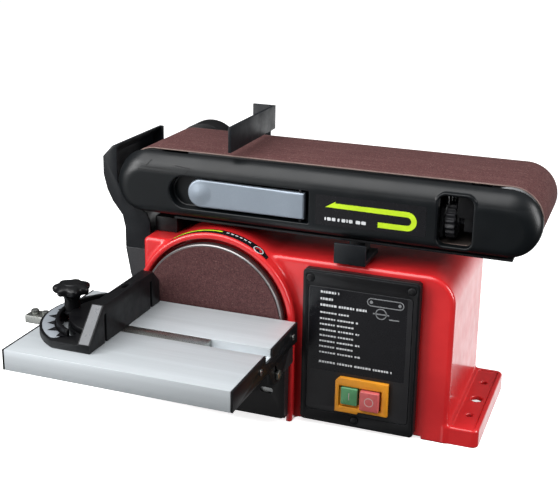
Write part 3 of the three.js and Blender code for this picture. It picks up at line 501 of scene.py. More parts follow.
def grown(distance, low, high, step):
    """The surface of a soft solid as a mesh, by surface nets on a grid with that step."""
    axes = [np.arange(a - 1.6 * step, b + 2.6 * step, step) for a, b in zip(low, high)]
    grid = np.broadcast_to(
        distance(axes[0][:, None, None], axes[1][None, :, None], axes[2][None, None, :]),
        [len(a) for a in axes])
    inside = grid < 0
    offsets = [(i, j, k) for i in (0, 1) for j in (0, 1) for k in (0, 1)]
    shape = [n - 1 for n in grid.shape]
    near = [tuple(slice(o, o + n) for o, n in zip(offset, shape)) for offset in offsets]
    count = sum(inside[part].astype(np.int8) for part in near)
    cell = np.argwhere((count > 0) & (count < 8))
    values = np.stack([grid[tuple((cell + o).T)] for o in offsets], axis=1)
    total, hits = np.zeros((len(cell), 3)), np.zeros(len(cell))
    for a in range(8):
        for b in range(a + 1, 8):
            way = np.subtract(offsets[b], offsets[a])
            if np.abs(way).sum() != 1:
                continue
            crossed = (values[:, a] < 0) != (values[:, b] < 0)
            share = values[:, a] / np.where(crossed, values[:, a] - values[:, b], 1)
            total += crossed[:, None] * (np.array(offsets[a]) + share[:, None] * way)
            hits += crossed
    start = np.array([a[0] for a in axes])
    points = start + (cell + total / hits[:, None]) * step

    def slope(at):
        reach = 0.02
        shifts = np.eye(3) * reach
        sides = [distance(*(at + s).T) - distance(*(at - s).T) for s in shifts]
        return np.stack(sides, axis=1) / (2 * reach)

    for _ in range(3):
        way = slope(points)
        gap = distance(*points.T)
        move = (gap / np.maximum((way ** 2).sum(1), 0.2))[:, None] * way
        points = points - np.clip(move, -0.4 * step, 0.4 * step)
    way = slope(points)
    normals = way / np.maximum(np.linalg.norm(way, axis=1), 1e-9)[:, None]

    number = np.full(shape, -1, np.int64)
    number[tuple(cell.T)] = np.arange(len(cell))
    faces = []
    for axis in range(3):
        b, c = (axis + 1) % 3, (axis + 2) % 3
        first = inside[tuple(slice(0, -1) if i == axis else slice(1, -1) for i in range(3))]
        second = inside[tuple(slice(1, None) if i == axis else slice(1, -1) for i in range(3))]
        edge = np.argwhere(first != second)
        leaving = first[tuple(edge.T)]
        edge[:, b] += 1
        edge[:, c] += 1
        steps_b, steps_c = np.eye(3, dtype=int)[b], np.eye(3, dtype=int)[c]
        quad = [number[tuple((edge - back).T)]
                for back in (steps_b + steps_c, steps_c, 0 * steps_b, steps_b)]
        quad = np.stack(quad, axis=1)
        faces.append(np.where(leaving[:, None], quad, quad[:, ::-1]))
    faces = np.concatenate(faces)

    turn = np.zeros(len(points))
    for corner in range(4):
        here, there = faces[:, corner - 1], faces[:, corner]
        bend = 1 - (normals[here] * normals[there]).sum(1)
        np.maximum.at(turn, here, bend)
        np.maximum.at(turn, there, bend)
    flat = turn < 1e-6

    mesh = bpy.data.meshes.new("shape")
    mesh.from_pydata(points.tolist(), [], faces.tolist())
    work = bmesh.new()
    work.from_mesh(mesh)
    layer = work.verts.layers.float_vector.new("true_normal")
    for vert, normal in zip(work.verts, normals.tolist()):
        vert[layer] = normal
    plain_edges = [e for e in work.edges if flat[e.verts[0].index] and flat[e.verts[1].index]]
    bmesh.ops.dissolve_limit(work, angle_limit=math.radians(0.5), verts=[], edges=plain_edges,
                             use_dissolve_boundaries=False, delimit=set())
    loose = [v for v in work.verts if not v.link_faces]
    bmesh.ops.delete(work, geom=loose, context="VERTS")
    work.to_mesh(mesh)
    work.free()
    mesh.shade_smooth()
    return mesh


def with_true_normals(made):
    """Shades a grown piece by the solid's own surface direction."""
    mesh = made.data
    normals = [Vector(item.vector) for item in mesh.attributes["true_normal"].data]
    mesh.normals_split_custom_set_from_vertices(normals)
    mesh.attributes.remove(mesh.attributes["true_normal"])


# ---- red housing

COARSE = 1.0
RING_OUTER, RING_INNER, RING_FRONT = 86, 80, 6
HUMP_BACK = 137
FOOT_Y = (21, 167)
FOOT_HEIGHT = 18.6
FOOT_HOLES = ((55, 3.6), (93, 6.2), (133, 3.6))  # place along y, radius
SHAFT_HOLE = 16
SWITCH_OPENING = ((126, 18), (189, 62))
BELT_OPENING = ((-72, 148), (-10, 164))
INLET = {"x": 200, "z": 42, "radius": 8.3}


def housing_solid(x, y, z):
    left, right, front, back, top, wall = -84, 241, 20, 170, 170, 4
    depth = slab(y, front, back)
    rounded_right = both(flat_box(x, z, (left, -40), (right, top), 28), depth, 4.5)
    square_left = both(flat_box(x, z, (left, -40), (60, top), 5), depth, 4.5)
    body = np.minimum(rounded_right, square_left)
    round_arch = ball(x, z - DISC_Z) - RING_OUTER
    arch = np.minimum(round_arch, both(slab(x, -RING_OUTER, RING_OUTER), z - DISC_Z))
    ring = both(arch, slab(y, RING_FRONT, front + 20), 2.4)
    hump = both(both(round_arch, 140 - z), slab(y, RING_FRONT + 2, HUMP_BACK), 6)
    shell = either(body, np.minimum(ring, hump), 5)

    well = np.minimum(
        ball(x, z - DISC_Z) - RING_INNER, both(slab(x, -RING_INNER, RING_INNER), z - DISC_Z))
    shell = without(shell, both(well, y - front, 2), 1.2)
    room = flat_box(x, z, (left + wall, -60), (right - wall, top - wall), 24)
    hump_room = both(ball(x, z - DISC_Z) - RING_OUTER + wall, slab(y, front, HUMP_BACK - wall), 3)
    room = either(both(room, slab(y, front + wall, back - wall), 4),
                  both(hump_room, front + wall - y), 3)
    shell = without(shell, room)
    shaft = ball(x, z - DISC_Z) - SHAFT_HOLE
    shell = without(shell, both(shaft, slab(y, 0, front + 12)), 0.8)
    switch_hole = both(flat_box(x, z, *SWITCH_OPENING, 2), slab(y, 0, front + 12))
    shell = without(shell, switch_hole, 0.8)
    belt_slot = both(flat_box(x, y, *BELT_OPENING, 2), 150 - z)
    shell = without(shell, belt_slot, 0.8)
    inlet = both(ball(x - INLET["x"], z - INLET["z"]) - INLET["radius"], 150 - y)
    shell = without(shell, inlet, 0.8)
    for side in (-1, 1):
        wall_x = right if side > 0 else -left
        out = side * x
        low, high = wall_x - 0.5, wall_x + 30
        block = both(flat_box(out, y, (low - 12, FOOT_Y[0]), (high, FOOT_Y[1]), 7),
                     slab(z, -20, FOOT_HEIGHT), 2.4)
        shell = either(shell, both(block, wall_x - 3 - out), 3)
        pad = flat_box(out, y, (low + 4.5, FOOT_Y[0] + 4.5), (high - 4.5, FOOT_Y[1] - 4.5), 4)
        shell = without(shell, both(pad, FOOT_HEIGHT - 1.2 - z), 0.6)
        shell = without(shell, both(pad, z - FOOT_HEIGHT + 6, 1))
        for y_hole, radius in FOOT_HOLES:
            hole = ball(out - (low + high) / 2, y - y_hole) - radius
            shell = without(shell, both(hole, z - 60), 0.6)
    relief = both(flat_box(x, y, (RING_OUTER + 8, -20), (right - 26, 200)), z - 3)
    return both(without(shell, relief, 0.8), -z, 0.5)


def housing():
    low, high = span("base_housing")
    mesh = grown(housing_solid, low, high, 1.6 * COARSE)
    made = piece("housing_casting", mesh, RED, "root", ["base_housing"])
    with_true_normals(made)


def hump_print():
    """A curved strip behind the disc's rim: a line, some marks and a turning arrow in a ring."""
    base = RING_OUTER + 0.15
    centre = (0, DISC_Z)
    ring_angle, ring_y = 58, 13.4

    def strip(first, last, thick, low, high):
        steps = max(2, round(abs(last - first) / 3))
        outline = arc(centre, base + thick, first, last, steps)
        outline += arc(centre, RING_OUTER - 0.2, last, first, steps)
        return prism("y", [outline], low, high)

    piece("hump_strip", strip(126, 50, 0.0, 9.4, 20.6), LABEL, "root")
    piece("hump_line", strip(123, 86, 0.15, 15.4, 17.8), LIME, "root")
    marks = [strip(83 - 3.2 * i, 81 - 3.2 * i, 0.15, 15.6, 17.4) for i in range(6)]
    piece("hump_marks", join(*marks), WHITE_PRINT, "root")

    def wrapped(outlines, thick):
        """Flat outlines, in millimetres round and along the hump, bent onto it at the ring mark."""
        flat = prism("z", outlines, -0.3, thick)
        for vert in flat.vertices:
            around, along, out = vert.co
            angle = math.radians(ring_angle) - around / RING_OUTER
            reach = base + out
            vert.co = (reach * math.cos(angle), ring_y + along, DISC_Z + reach * math.sin(angle))
        return flat

    ring = wrapped([circle((0, 0), 5.6), circle((0, 0), 4.7)], 0.2)
    piece("hump_ring", ring, WHITE_PRINT, "root")
    arrow = arc((0, 0), 3.4, 200, 20, 16) + [(4.6, 0.6), (2.5, -2.2), (0.6, 0.9)]
    arrow += arc((0, 0), 1.8, 20, 200, 12)
    mark = wrapped([arrow], 0.2)
    piece("hump_arrow", mark, RED_PRINT, "root")


# ---- arm cover

low_belt, high_belt = span("sanding_belt")
BELT_RADIUS = (high_belt.z - low_belt.z) / 2
BELT_Z = (high_belt.z + low_belt.z) / 2
ARM_LEFT, ARM_RIGHT = low_belt.x + BELT_RADIUS, high_belt.x - BELT_RADIUS
low_cover, high_cover = span("front_cover")
COVER_RADIUS = (high_cover.z - low_cover.z) / 2
COVER_Z = (high_cover.z + low_cover.z) / 2
COVER_LEFT, COVER_RIGHT = low_cover.x + COVER_RADIUS, high_cover.x - COVER_RADIUS
COVER_FRONT, COVER_BACK = low_cover.y, high_cover.y
RECESS = {"left": -54, "right": 93.6, "bottom": 206, "top": 239, "floor": 31}
WINDOW = {"left": 219, "right": 252, "bottom": 201, "top": 249}


def cover_solid(x, y, z):
    """The shoulder is broad along the top and tighter along the bottom."""
    outline = capsule(x, z, COVER_LEFT, COVER_RIGHT, COVER_Z, COVER_RADIUS)
    shoulder = 9 + 14 * np.clip((z - 203) / 40, 0, 1)
    flatter = 1.3
    outside = both(outline, flatter * slab(y, COVER_FRONT, COVER_BACK + 40), shoulder)
    inside = both(outline + 2.4, flatter * slab(y, COVER_FRONT + 2.4, COVER_BACK + 40), shoulder - 2)
    reach = (RECESS["top"] - RECESS["bottom"]) / 2
    middle = (RECESS["top"] + RECESS["bottom"]) / 2
    pocket_round = capsule(x, z, RECESS["left"] + reach, 200, middle, reach)
    pocket = both(pocket_round, x - RECESS["right"], 1.5)
    socket = both(pocket - 2.2, slab(y, COVER_FRONT + 1, RECESS["floor"] + 2), 1)
    window = flat_box(
        x, z, (WINDOW["left"], WINDOW["bottom"]), (WINDOW["right"], WINDOW["top"]), 7)
    frame_wall = both(window - 3, slab(y, COVER_FRONT + 1, COVER_FRONT + 11), 1)
    shell = without(outside, inside)
    shell = either(either(shell, socket, 1), frame_wall, 1)
    shell = without(shell, both(pocket, y - RECESS["floor"], 1.5), 1.3)
    shell = without(shell, window, 1.4)
    return both(shell, y - COVER_BACK, 0.5)


def on_shoulder(x, z):
    """The first point of the cover's outside face that a line along y meets at x and z."""
    y = np.linspace(COVER_FRONT - 1, COVER_BACK, 1600)
    solid = cover_solid(np.full_like(y, x), y, np.full_like(y, z)) <= 0
    return Vector((x, y[np.argmax(solid)], z))


def shoulder_line(ends):
    """A fine dark seam that follows the cover's shoulder through a few points."""
    width, lift = 0.8, 0.12
    points = []
    for start, end in zip(ends, ends[1:]):
        points += [[a + (b - a) * t for a, b in zip(start, end)] for t in np.linspace(0, 1, 9)[:-1]]
    points.append(ends[-1])
    rings = []
    for i, (x, z) in enumerate(points):
        near, far = points[max(i - 1, 0)], points[min(i + 1, len(points) - 1)]
        along = (on_shoulder(*far) - on_shoulder(*near)).normalized()
        slope = on_shoulder(x, z + 0.5) - on_shoulder(x, z - 0.5)
        out = slope.cross(Vector((1, 0, 0))).normalized()
        out = -out if out.y > 0 else out
        side = along.cross(out).normalized() * width / 2
        middle = on_shoulder(x, z)
        rings.append([middle - side - lift * out, middle + side - lift * out,
                      middle + side + lift * out, middle - side + lift * out])
    return skin(rings, sharp=80)


def cover():
    mesh = grown(cover_solid, low_cover, high_cover, 1.0 * COARSE)
    made = piece("cover_moulding", mesh, COVER_BLACK, "arm", ["front_cover"])
    with_true_normals(made)

    seams = [shoulder_line([(-74.5, 251.5), (-80.5, 244.4), (-52.2, 243.8)]),
             shoulder_line([(-88.8, 241.8), (-37.6, 239.3), (-31.6, 246.8), (-48.0, 248.2)])]
    piece("shoulder_seams", join(*seams), RUBBER, "arm")

    # a thin dark sheet behind the window's upper right part, in front of the belt: painted shade inside
    # the window
    shade_sheet = prism("y", [rectangle((235, 226), (254, 252), 1)],
                   COVER_BACK - 1, COVER_BACK, 0.2)
    piece("window_shade_sheet", shade_sheet, BLACK_PAINT, "arm")

    label = prism("y", [rectangle((101, 207.5), (209, 237), 2)],
                  COVER_FRONT - 0.15, COVER_FRONT + 0.2)
    piece("belt_label", label, LABEL, "arm")
    depth = (COVER_FRONT - 0.3, COVER_FRONT - 0.1)
    bend = (190.9, 220.6)
    arrow = [(111, 225.4), (121, 231.6), (120.5, 229.9)]
    arrow += arc(bend, 9.3, 90, -90, 20) + [(163, 211.3), (163, 216.5)]
    arrow += arc(bend, 4.1, -90, 90, 14)
    piece("belt_arrow", prism("y", [arrow], *depth), LIME, "arm")
    bars = [(110.5, 112), (113, 116.7), (117.7, 121.4), (123.5, 125.5), (127.5, 131.2),
            (132.2, 133.7), (134.7, 138.4), (141.5, 146), (147, 151.5)]
    marks = [prism("y", [rectangle((a, 212.2), (b, 215.4), 0.8)], *depth) for a, b in bars]
    piece("belt_label_bars", join(*marks), WHITE_PRINT, "arm")


# ---- belt and lever


def belt():
    thick = 1.2
    left, right = (ARM_LEFT, BELT_Z), (ARM_RIGHT, BELT_Z)
    outer = stadium(left, right, BELT_RADIUS, 48)
    inner = stadium(left, right, BELT_RADIUS - thick, 48)
    mesh = prism("y", [outer, inner], low_belt.y, high_belt.y, 0.25)
    made = piece("belt_loop", mesh, BELT_GRIT, "arm", ["sanding_belt"])
    # the belt's inner faces take the darkened backing, a painted shade
    made.data.materials.append(SHADED_BACKING)
    middle = spot((0, 0, BELT_Z)).z
    for face in made.data.polygons:
        centre = face.center
        inward = face.normal.z * (middle - centre.z)
        if abs(face.normal.y) < 0.5 and inward > 0 and abs(face.normal.x) < 0.3:
            face.material_index = 1


low_lever, high_lever = span("tension_lever")


def lever_solid(x, y, z):
    """A flat blade with a full round tip, and a shallow dome on it for the thumb."""
    low, high, dome_radius = low_lever, high_lever, 30
    middle, tip = (low.z + high.z) / 2, (high.z - low.z) / 2
    taper = tip - 1.3 * np.clip((x - low.x - tip) / (high.x - low.x - tip), 0, 1)
    outline = ball(x - np.clip(x, low.x + tip, high.x + 40), z - middle) - taper
    outline = both(outline, x - high.x, 0.6)
    front = low.y + 1.6 * np.clip((75 - x) / 60, 0, 1)
    blade = both(outline, slab(y, front, high.y), 2)
    dome = ball(x - low.x - tip + 1, y - low.y - dome_radius, z - middle) - dome_radius
    return either(blade, both(outline, both(dome, y - high.y), 1.5), 1.2)


def lever():
    mesh = grown(lever_solid, low_lever, high_lever, 0.8 * COARSE)
    made = piece("lever_blade", mesh, LEVER, "tension_lever", ["tension_lever"])
    with_true_normals(made)


# ---- disc


def disc():
    centre = (0, DISC_Z)
    low, high = span("disc_platter")
    rim = (high.z - low.z) / 2
    profile = [(8, low.y), (rim - 0.9, low.y), (rim, low.y + 0.9), (rim, 10.3), (rim - 0.7, 11),
               (16, 11), (14, 12.5), (14, high.y), (8, high.y)]
    platter = turned("y", centre, profile, 128)
    piece("disc_plate", platter, POLISHED, "rotor", ["disc_platter"])
    low, high = span("abrasive_disc")
    edge = DISC_RADIUS - 1.2
    profile = [(0.5, low.y), (edge - 0.3, low.y), (edge, low.y + 0.3), (edge, high.y), (0.5, high.y)]
    paper = turned("y", centre, profile, 128)
    piece("disc_paper", paper, DISC_GRIT, "rotor", ["abrasive_disc"])


def slot_painted_light():
    """A bright plate behind the lower guard's slot: painted light, standing in for the light seen through
    the slot.
    """
    face_back = -2.5
    plate = prism("y", [rectangle((53, 31), (71, 42), 1.5)],
                  face_back + 0.3, face_back + 1.3, 0.2)
    piece("slot_painted_light", plate, PAINTED_LIGHT_METAL, "root")


# ---- knobs


def star(axis, centre, stations, count, steps=140):
    """A lobed knob: (radius, lobe depth, place along the axis) for each station."""
    rings = [[placed(axis, u, v, along) for u, v in lobes(centre, radius, depth, count, steps)]
             for radius, depth, along in stations]
    return skin(rings, sharp=50)


def gauge_knob():
    low, high = span("gauge_knob")
    centre = centre_of("gauge_knob", "z")
    r, top = (high.x - low.x) / 2, high.z
    stations = [(r * 0.42, 0, top - 13), (r * 0.5, 0.4, top - 11.8), (r - 5, 2.0, top - 10.4),
                (r - 1.6, 3.2, top - 9.4), (r - 0.3, 3.6, top - 7.8), (r, 3.6, top - 5.4),
                (r - 0.4, 3.5, top - 3.9), (r - 1.8, 3.0, top - 2.7), (r - 4.5, 1.8, top - 1.7),
                (r - 8, 0.6, top - 1.0), (r - 10, 0, top - 0.9), (r - 10.6, 0, top - 0.3),
                (r - 14, 0, top)]
    cap = star("z", centre, stations, 7)
    stem = turned("z", centre, [
        (3, low.z), (3, 121.3), (9.6, 121.3), (10, 121.7), (10, 122.6), (8.2, 123.4), (7.6, 126),
        (7.4, 134), (8.2, 137.2), (9.4, 138.4)], 48)
    piece("gauge_star_knob", join(cap, stem), BLACK,
          "gauge_knob", ["gauge_knob"])


def lock_knob():
    low, high = span("table_lock_knob")
    centre = centre_of("table_lock_knob", "x")
    r, x = (high.y - low.y) / 2, low.x
    stations = [(r * 0.5, 0, x), (r - 2.2, 1.6, x + 0.3), (r - 0.8, 2.3, x + 1), (r, 2.6, x + 2.2),
                (r, 2.6, x + 7), (r - 0.8, 2.3, x + 8.3), (r - 2, 1.6, x + 9), (6, 0, x + 9.3),
                (5.5, 0, x + 10.5), (5.5, 0, x + 13.6), (2.7, 0, x + 13.7), (2.7, 0, high.x)]
    piece("lock_star_knob", star("x", centre, stations, 6, 120), BLACK,
          "table_lock_knob", ["table_lock_knob"])


def tracking_knob():
    low, high = span("tracking_knob")
    centre = centre_of("tracking_knob", "x")
    r, x = (high.z - low.z) / 2, 224
    ribs = [(8, 0, x), (r - 2.6, 0.4, x + 0.2), (r - 0.5, 1.9, x + 1), (r, 2.1, x + 1.9),
            (r, 2.1, x + 8.2), (r - 0.5, 1.9, x + 9.2), (r - 2.6, 0.4, x + 10), (9, 0, x + 10)]
    wheel = star("x", centre, ribs, 17, 272)
    nut = prism("x", [circle(centre, 6.5, 6)], x + 9.8, x + 11.4, 0.4)
    washer = turned("x", centre, [(5.6, x + 11.4), (5.6, x + 12.2)], 32)
    thread = [((3.2, 2.75)[step % 2], x + 12.2 + 0.35 * step) for step in range(28)]
    screw = turned("x", centre, thread, 24, 60)
    tail = turned("x", centre, [(3.2, low.x), (3.2, x)], 24)
    piece("tracking_wheel", join(wheel, nut, washer, screw, tail), WHEEL,
          "tracking_knob", ["tracking_knob"])


# ---- mitre gauge


def gauge():
    pivot = (-60, -78.5)
    plate_top = 120
    collar = prism("z", [
        bent_slot(pivot, 55.6, 1.7, 116, 244, 40)], plate_top - 0.2, plate_top + 6.5, 0.6)
    piece("gauge_collar", collar, CAST_BLACK, "gauge_head")
    boss_edge = arc(pivot, 45.2, 99, 261, 48)
    fence_back = -65.2
    boss = prism("z", [boss_edge + [(fence_back, -119), (fence_back, -38)]],
                 plate_top - 0.2, plate_top + 6.5, 0.8)
    piece("gauge_boss", boss, CAST_BLACK, "gauge_head")

    slope = ((-143.2, 121.4), (-117.4, 149.7))
    tilt = Vector((0, slope[0][1] - slope[1][1], slope[1][0] - slope[0][0])).normalized() * 0.25
    corners = [Vector((x, *end)) for end in slope for x in (-63.8, -54.2)]
    corners[2], corners[3] = corners[3], corners[2]
    rings = [[corner + tilt * side for corner in corners] for side in (-1, 1)]
    piece("gauge_slope", skin(rings), SLOPE_FACE, "gauge_head")

    first_angle, step, spikes = 120, 15, []
    for i in range(9):
        angle = first_angle + step * i
        base = arc(pivot, 58.6, angle - 5.2, angle + 5.2, 2)
        tip = arc(pivot, 67.2 if i % 2 else 65.2, angle, angle, 1)[0]
        spikes.append(prism("z", [base + [tip]], 120.85, 121.0))
    piece("scale_spikes", join(*spikes), LABEL, "gauge_head")


# ---- switch


def screw_head(axis, centre, radius, face, back, toward=-1):
    """A pan head with a cross recess, from its face to its back along an axis."""
    depth = abs(back - face)
    rim = [(radius * 0.1, face), (radius * 0.62, face + 0.1 * depth * -toward),
           (radius * 0.92, face + 0.4 * depth * -toward), (radius, face + 0.75 * depth * -toward),
           (radius, back)]
    return turned(axis, centre, rim, 40)


def cross(axis, centre, size, low, high, turn):
    """The four-armed recess of a screw head, as a dark inlay: painted shade where the recess is."""
    outline = []
    for quarter in range(4):
        angle = math.radians(turn + 90 * quarter)
        way, side = (math.cos(angle), math.sin(angle)), (-math.sin(angle), math.cos(angle))
        for along, across in ((0.22, -0.22), (1, -0.16), (1, 0.16)):
            outline.append([centre[i] + size * (along * way[i] + across * side[i]) for i in (0, 1)])
    return prism(axis, [outline], low, high)


def switch():
    low, high = span("switch_bezel")
    start_low, start_high = span("start_button")
    stop_low, stop_high = span("stop_button")
    gap = 0.8
    holes = [rectangle((a.x - gap, a.z - gap), (b.x + gap, b.z + gap), 1)
             for a, b in ((start_low, start_high), (stop_low, stop_high))]
    corner, step_x, step_up = 4, (low.x + high.x) / 2 - 4, 2.4
    outline = [(low.x, low.z), (step_x, low.z), (step_x + 2, low.z + step_up),
               (high.x, low.z + step_up), (high.x, high.z), (low.x + corner, high.z),
               (low.x, high.z - corner)]
    window = rectangle((start_low.x - 2.2, stop_low.z - 1), (stop_high.x + 2.4, stop_high.z + 1.2), 1)
    plate = prism("y", [outline] + holes, high.y - 1.2, high.y, 0.2)
    lip = prism("y", [outline, window], low.y, high.y - 1, 0.7)
    piece("switch_frame", join(plate, lip), YELLOW, "root",
          ["switch_bezel"])
    for name, node, look, slot in (
            ("start_key", "start_button", GREEN, "green_plastic"),
            ("stop_key", "stop_button", STOP_RED, "red_plastic")):
        key_low, key_high = span(node)
        key = prism("y", [rectangle((key_low.x, key_low.z), (key_high.x, key_high.z), 1.2)],
                    key_low.y, key_high.y, 0.8)
        piece(name, key, look, node, [node])
    middle = (start_low.x + start_high.x) / 2
    on_mark = prism("y", [rectangle((middle - 0.35, 36.4), (middle + 0.35, 44), 0.3)],
                    start_low.y - 0.12, start_low.y + 0.1)
    piece("on_mark", on_mark, KEY_PRINT, "start_button")
    centre = centre_of("stop_button", "y")
    off_mark = prism("y", [circle(centre, 4.6), circle(centre, 3.9)],
                     stop_low.y - 0.12, stop_low.y + 0.1)
    piece("off_mark", off_mark, KEY_PRINT, "stop_button")


PANEL_SCREWS = [centre_of(f"panel_screw_{i}", "y") for i in (1, 2, 3)]


def panel():
    low, high = span("switch_panel")
    bezel_low, bezel_high = span("switch_bezel")
    outline = rectangle((low.x, low.z), (high.x, high.z), 4, 6)
    opening = rectangle((bezel_low.x + 3, bezel_low.z + 3), (bezel_high.x - 3, bezel_high.z - 3), 1)
    groove_low, groove_high, groove = (low.x + 5.5, 17), (high.x - 5.5, 149), 0.9
    groove_outer = rectangle(groove_low, groove_high, 4, 6)
    groove_inner = rectangle((groove_low[0] + groove, groove_low[1] + groove),
                             (groove_high[0] - groove, groove_high[1] - groove), 3.2, 6)
    rim = 2.2
    sockets = [circle(centre, 4.9, 32) for centre in PANEL_SCREWS]
    back = prism("y", [outline, opening], low.y + 1.1, high.y, 1.6)
    frame_face = prism("y", [
        rectangle((low.x + rim, low.z + rim), (high.x - rim, high.z - rim), 2.6, 6), groove_outer,
        *sockets], low.y, low.y + 2.5, 0.3)
    field = prism("y", [groove_inner, opening], low.y, low.y + 2.5, 0.3)
    piece("panel_moulding", join(back, frame_face), PANEL_BLACK,
          "root", ["switch_panel"])
    piece("panel_field", field, PANEL_FIELD, "root")
    label = prism("y", [rectangle((101, 61.6), (198, 147.5), 1)],
                  low.y - 0.15, low.y + 0.2)
    piece("rating_label", label, LABEL, "root")
    # height, length and letter size of each line of bars
    rows = [(143.3, 18.6, 2.3), (136.3, 12.8, 2.3), (129.9, 46.5, 2.3), (122.2, 29, 1.7),
            (115.8, 38.4, 1.7), (110.0, 34.3, 1.7), (104.2, 40, 1.7), (98.2, 36, 1.7),
            (92.4, 40.7, 1.7), (86.7, 35.5, 1.7), (80.5, 42.4, 1.7), (70.3, 73.8, 2.0)]
    bars = []
    for i, (height, length, size) in enumerate(rows):
        x, end, word = 112, 112 + length, 0
        while x < end:
            width = min((2.2, 1.5, 2.0, 2.6)[(i + word) % 4], end - x)
            if width > 0.8:
                bars.append(prism("y", [rectangle(
                    (x, height - size / 2), (x + width, height + size / 2), 0.4, 3)],
                    low.y - 0.3, low.y - 0.1))
            x += width + (2.2 if word % 6 == 5 else 0.7)
            word += 1
    piece("rating_bars", join(*bars), WHITE_PRINT, "root")
    x, z = 176.8, 134.5
    ends = [(x - 14, z + 5.3), (x + 14, z + 5.3)]
    shapes = [
        [stadium(*ends, 4.2, 12), stadium(*ends, 3.3, 12)],
        [circle(ends[0], 1.6, 24)], [circle(ends[1], 1.6, 24)],
        [circle((x - 4, z - 5.5), 5.6), circle((x - 4, z - 5.5), 4.7)],
        [rectangle((x - 12, z - 6.4), (x + 4, z - 5.2), 0.4)],
        [rectangle((x + 4, z - 10.5), (x + 14, z - 9.4), 0.4)],
    ]
    marks = [prism("y", shape, low.y - 0.3, low.y - 0.1) for shape in shapes]
    piece("panel_pictogram", join(*marks), DIM_PRINT, "root")


def fasteners():
    for i, centre in enumerate(PANEL_SCREWS, 1):
        node = f"panel_screw_{i}"
        low, high = span(node)
        head = screw_head("y", centre, 3.8, low.y, low.y + 1.5)
        shank = turned("y", centre, [(1.8, low.y + 1.4), (1.8, high.y)], 16)
        piece(f"pan_screw_{i}", join(head, shank), BLACK_PAINT,
              "root", [node])
        # a dark inlay as painted shade in the head's cross recess
        slot = cross("y", centre, 2.2, low.y - 0.05, low.y + 0.3, 20 + 31 * i)
        piece(f"pan_screw_cross_shade_{i}", slot, RUBBER, "root")
    for i in (1, 2):
        node = f"cap_screw_{i}"
        low, high = span(node)
        centre = centre_of(node, "x")
        head = screw_head("x", centre, 3.2, high.x, high.x - 1.2, 1)
        shank = turned("x", centre, [(1.7, low.x), (1.7, high.x - 1.1)], 16)
        piece(f"table_screw_{i}", join(head, shank), STEEL, "table",
              [node])
        # a dark inlay as painted shade in the head's cross recess
        slot = cross("x", centre, 1.9, high.x - 0.3, high.x + 0.05, 50 * i)
        piece(f"table_screw_cross_shade_{i}", slot, RUBBER, "table")


def spring():
    low, high = span("tension_spring")
    centre = centre_of("tension_spring", "x")
    wire, coils, around = 1.1, 8, 20
    reach = (high.z - low.z) / 2 - wire
    rings = []
    for i in range(coils * around + 1):
        angle = 2 * math.pi * i / around
        share = i / (coils * around)
        x = low.x + wire + (high.x - low.x - 2 * wire) * share
        out = Vector((0, math.cos(angle), math.sin(angle)))
        hub = Vector((x, centre[0], centre[1])) + out * reach
        rings.append([hub + wire * (math.cos(t) * out + math.sin(t) * Vector((1, 0, 0)))
                      for t in np.linspace(0, 2 * math.pi, 9)[:-1]])
    piece("coil_spring", skin(rings, sharp=80), STEEL, "arm",
          ["tension_spring"])


# ---- CAD nodes


def edge_shading():
    """A modifier's node group that keeps edges over the crease angle crisp."""
    group = bpy.data.node_groups.new("crisp_edges", "GeometryNodeTree")
    group.interface.new_socket("Geometry", in_out="INPUT", socket_type="NodeSocketGeometry")
    group.interface.new_socket("Geometry", in_out="OUTPUT", socket_type="NodeSocketGeometry")
    start, end = group.nodes.new("NodeGroupInput"), group.nodes.new("NodeGroupOutput")
    angle = group.nodes.new("GeometryNodeInputMeshEdgeAngle")
    wide = group.nodes.new("FunctionNodeCompare")
    wide.operation = "GREATER_THAN"
    wide.inputs["B"].default_value = math.radians(CREASE)
    smooth = group.nodes.new("GeometryNodeSetShadeSmooth")
    crisp = group.nodes.new("GeometryNodeSetShadeSmooth")
    crisp.domain = "EDGE"
    crisp.inputs["Shade Smooth"].default_value = False
    links = group.links
    links.new(start.outputs[0], smooth.inputs["Geometry"])
    links.new(smooth.outputs[0], crisp.inputs["Geometry"])
    links.new(angle.outputs["Unsigned Angle"], wide.inputs["A"])
    links.new(wide.outputs[0], crisp.inputs["Selection"])
    links.new(crisp.outputs[0], end.inputs[0])
    return group


CRISP = edge_shading()


def dress(node, look, edge_mm=0.0):
    """Gives a CAD node its finish, rounds its edges and shades it evenly. Its mesh stays as it is."""
    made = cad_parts[node]
    made.data.materials.clear()
    made.data.materials.append(look)
    weld = made.modifiers.new("weld", "WELD")
    weld.merge_threshold = 2e-6
    flat = made.modifiers.new("merge_flats", "DECIMATE")
    flat.decimate_type = "DISSOLVE"
    flat.angle_limit = math.radians(0.5)
    if edge_mm:
        bevel = made.modifiers.new("round_edges", "BEVEL")
        bevel.width = edge_mm / 1000
        bevel.segments = 2
        bevel.limit_method = "ANGLE"
        bevel.angle_limit = math.radians(CREASE)
    crisp = made.modifiers.new("crisp_edges", "NODES")
    crisp.node_group = CRISP


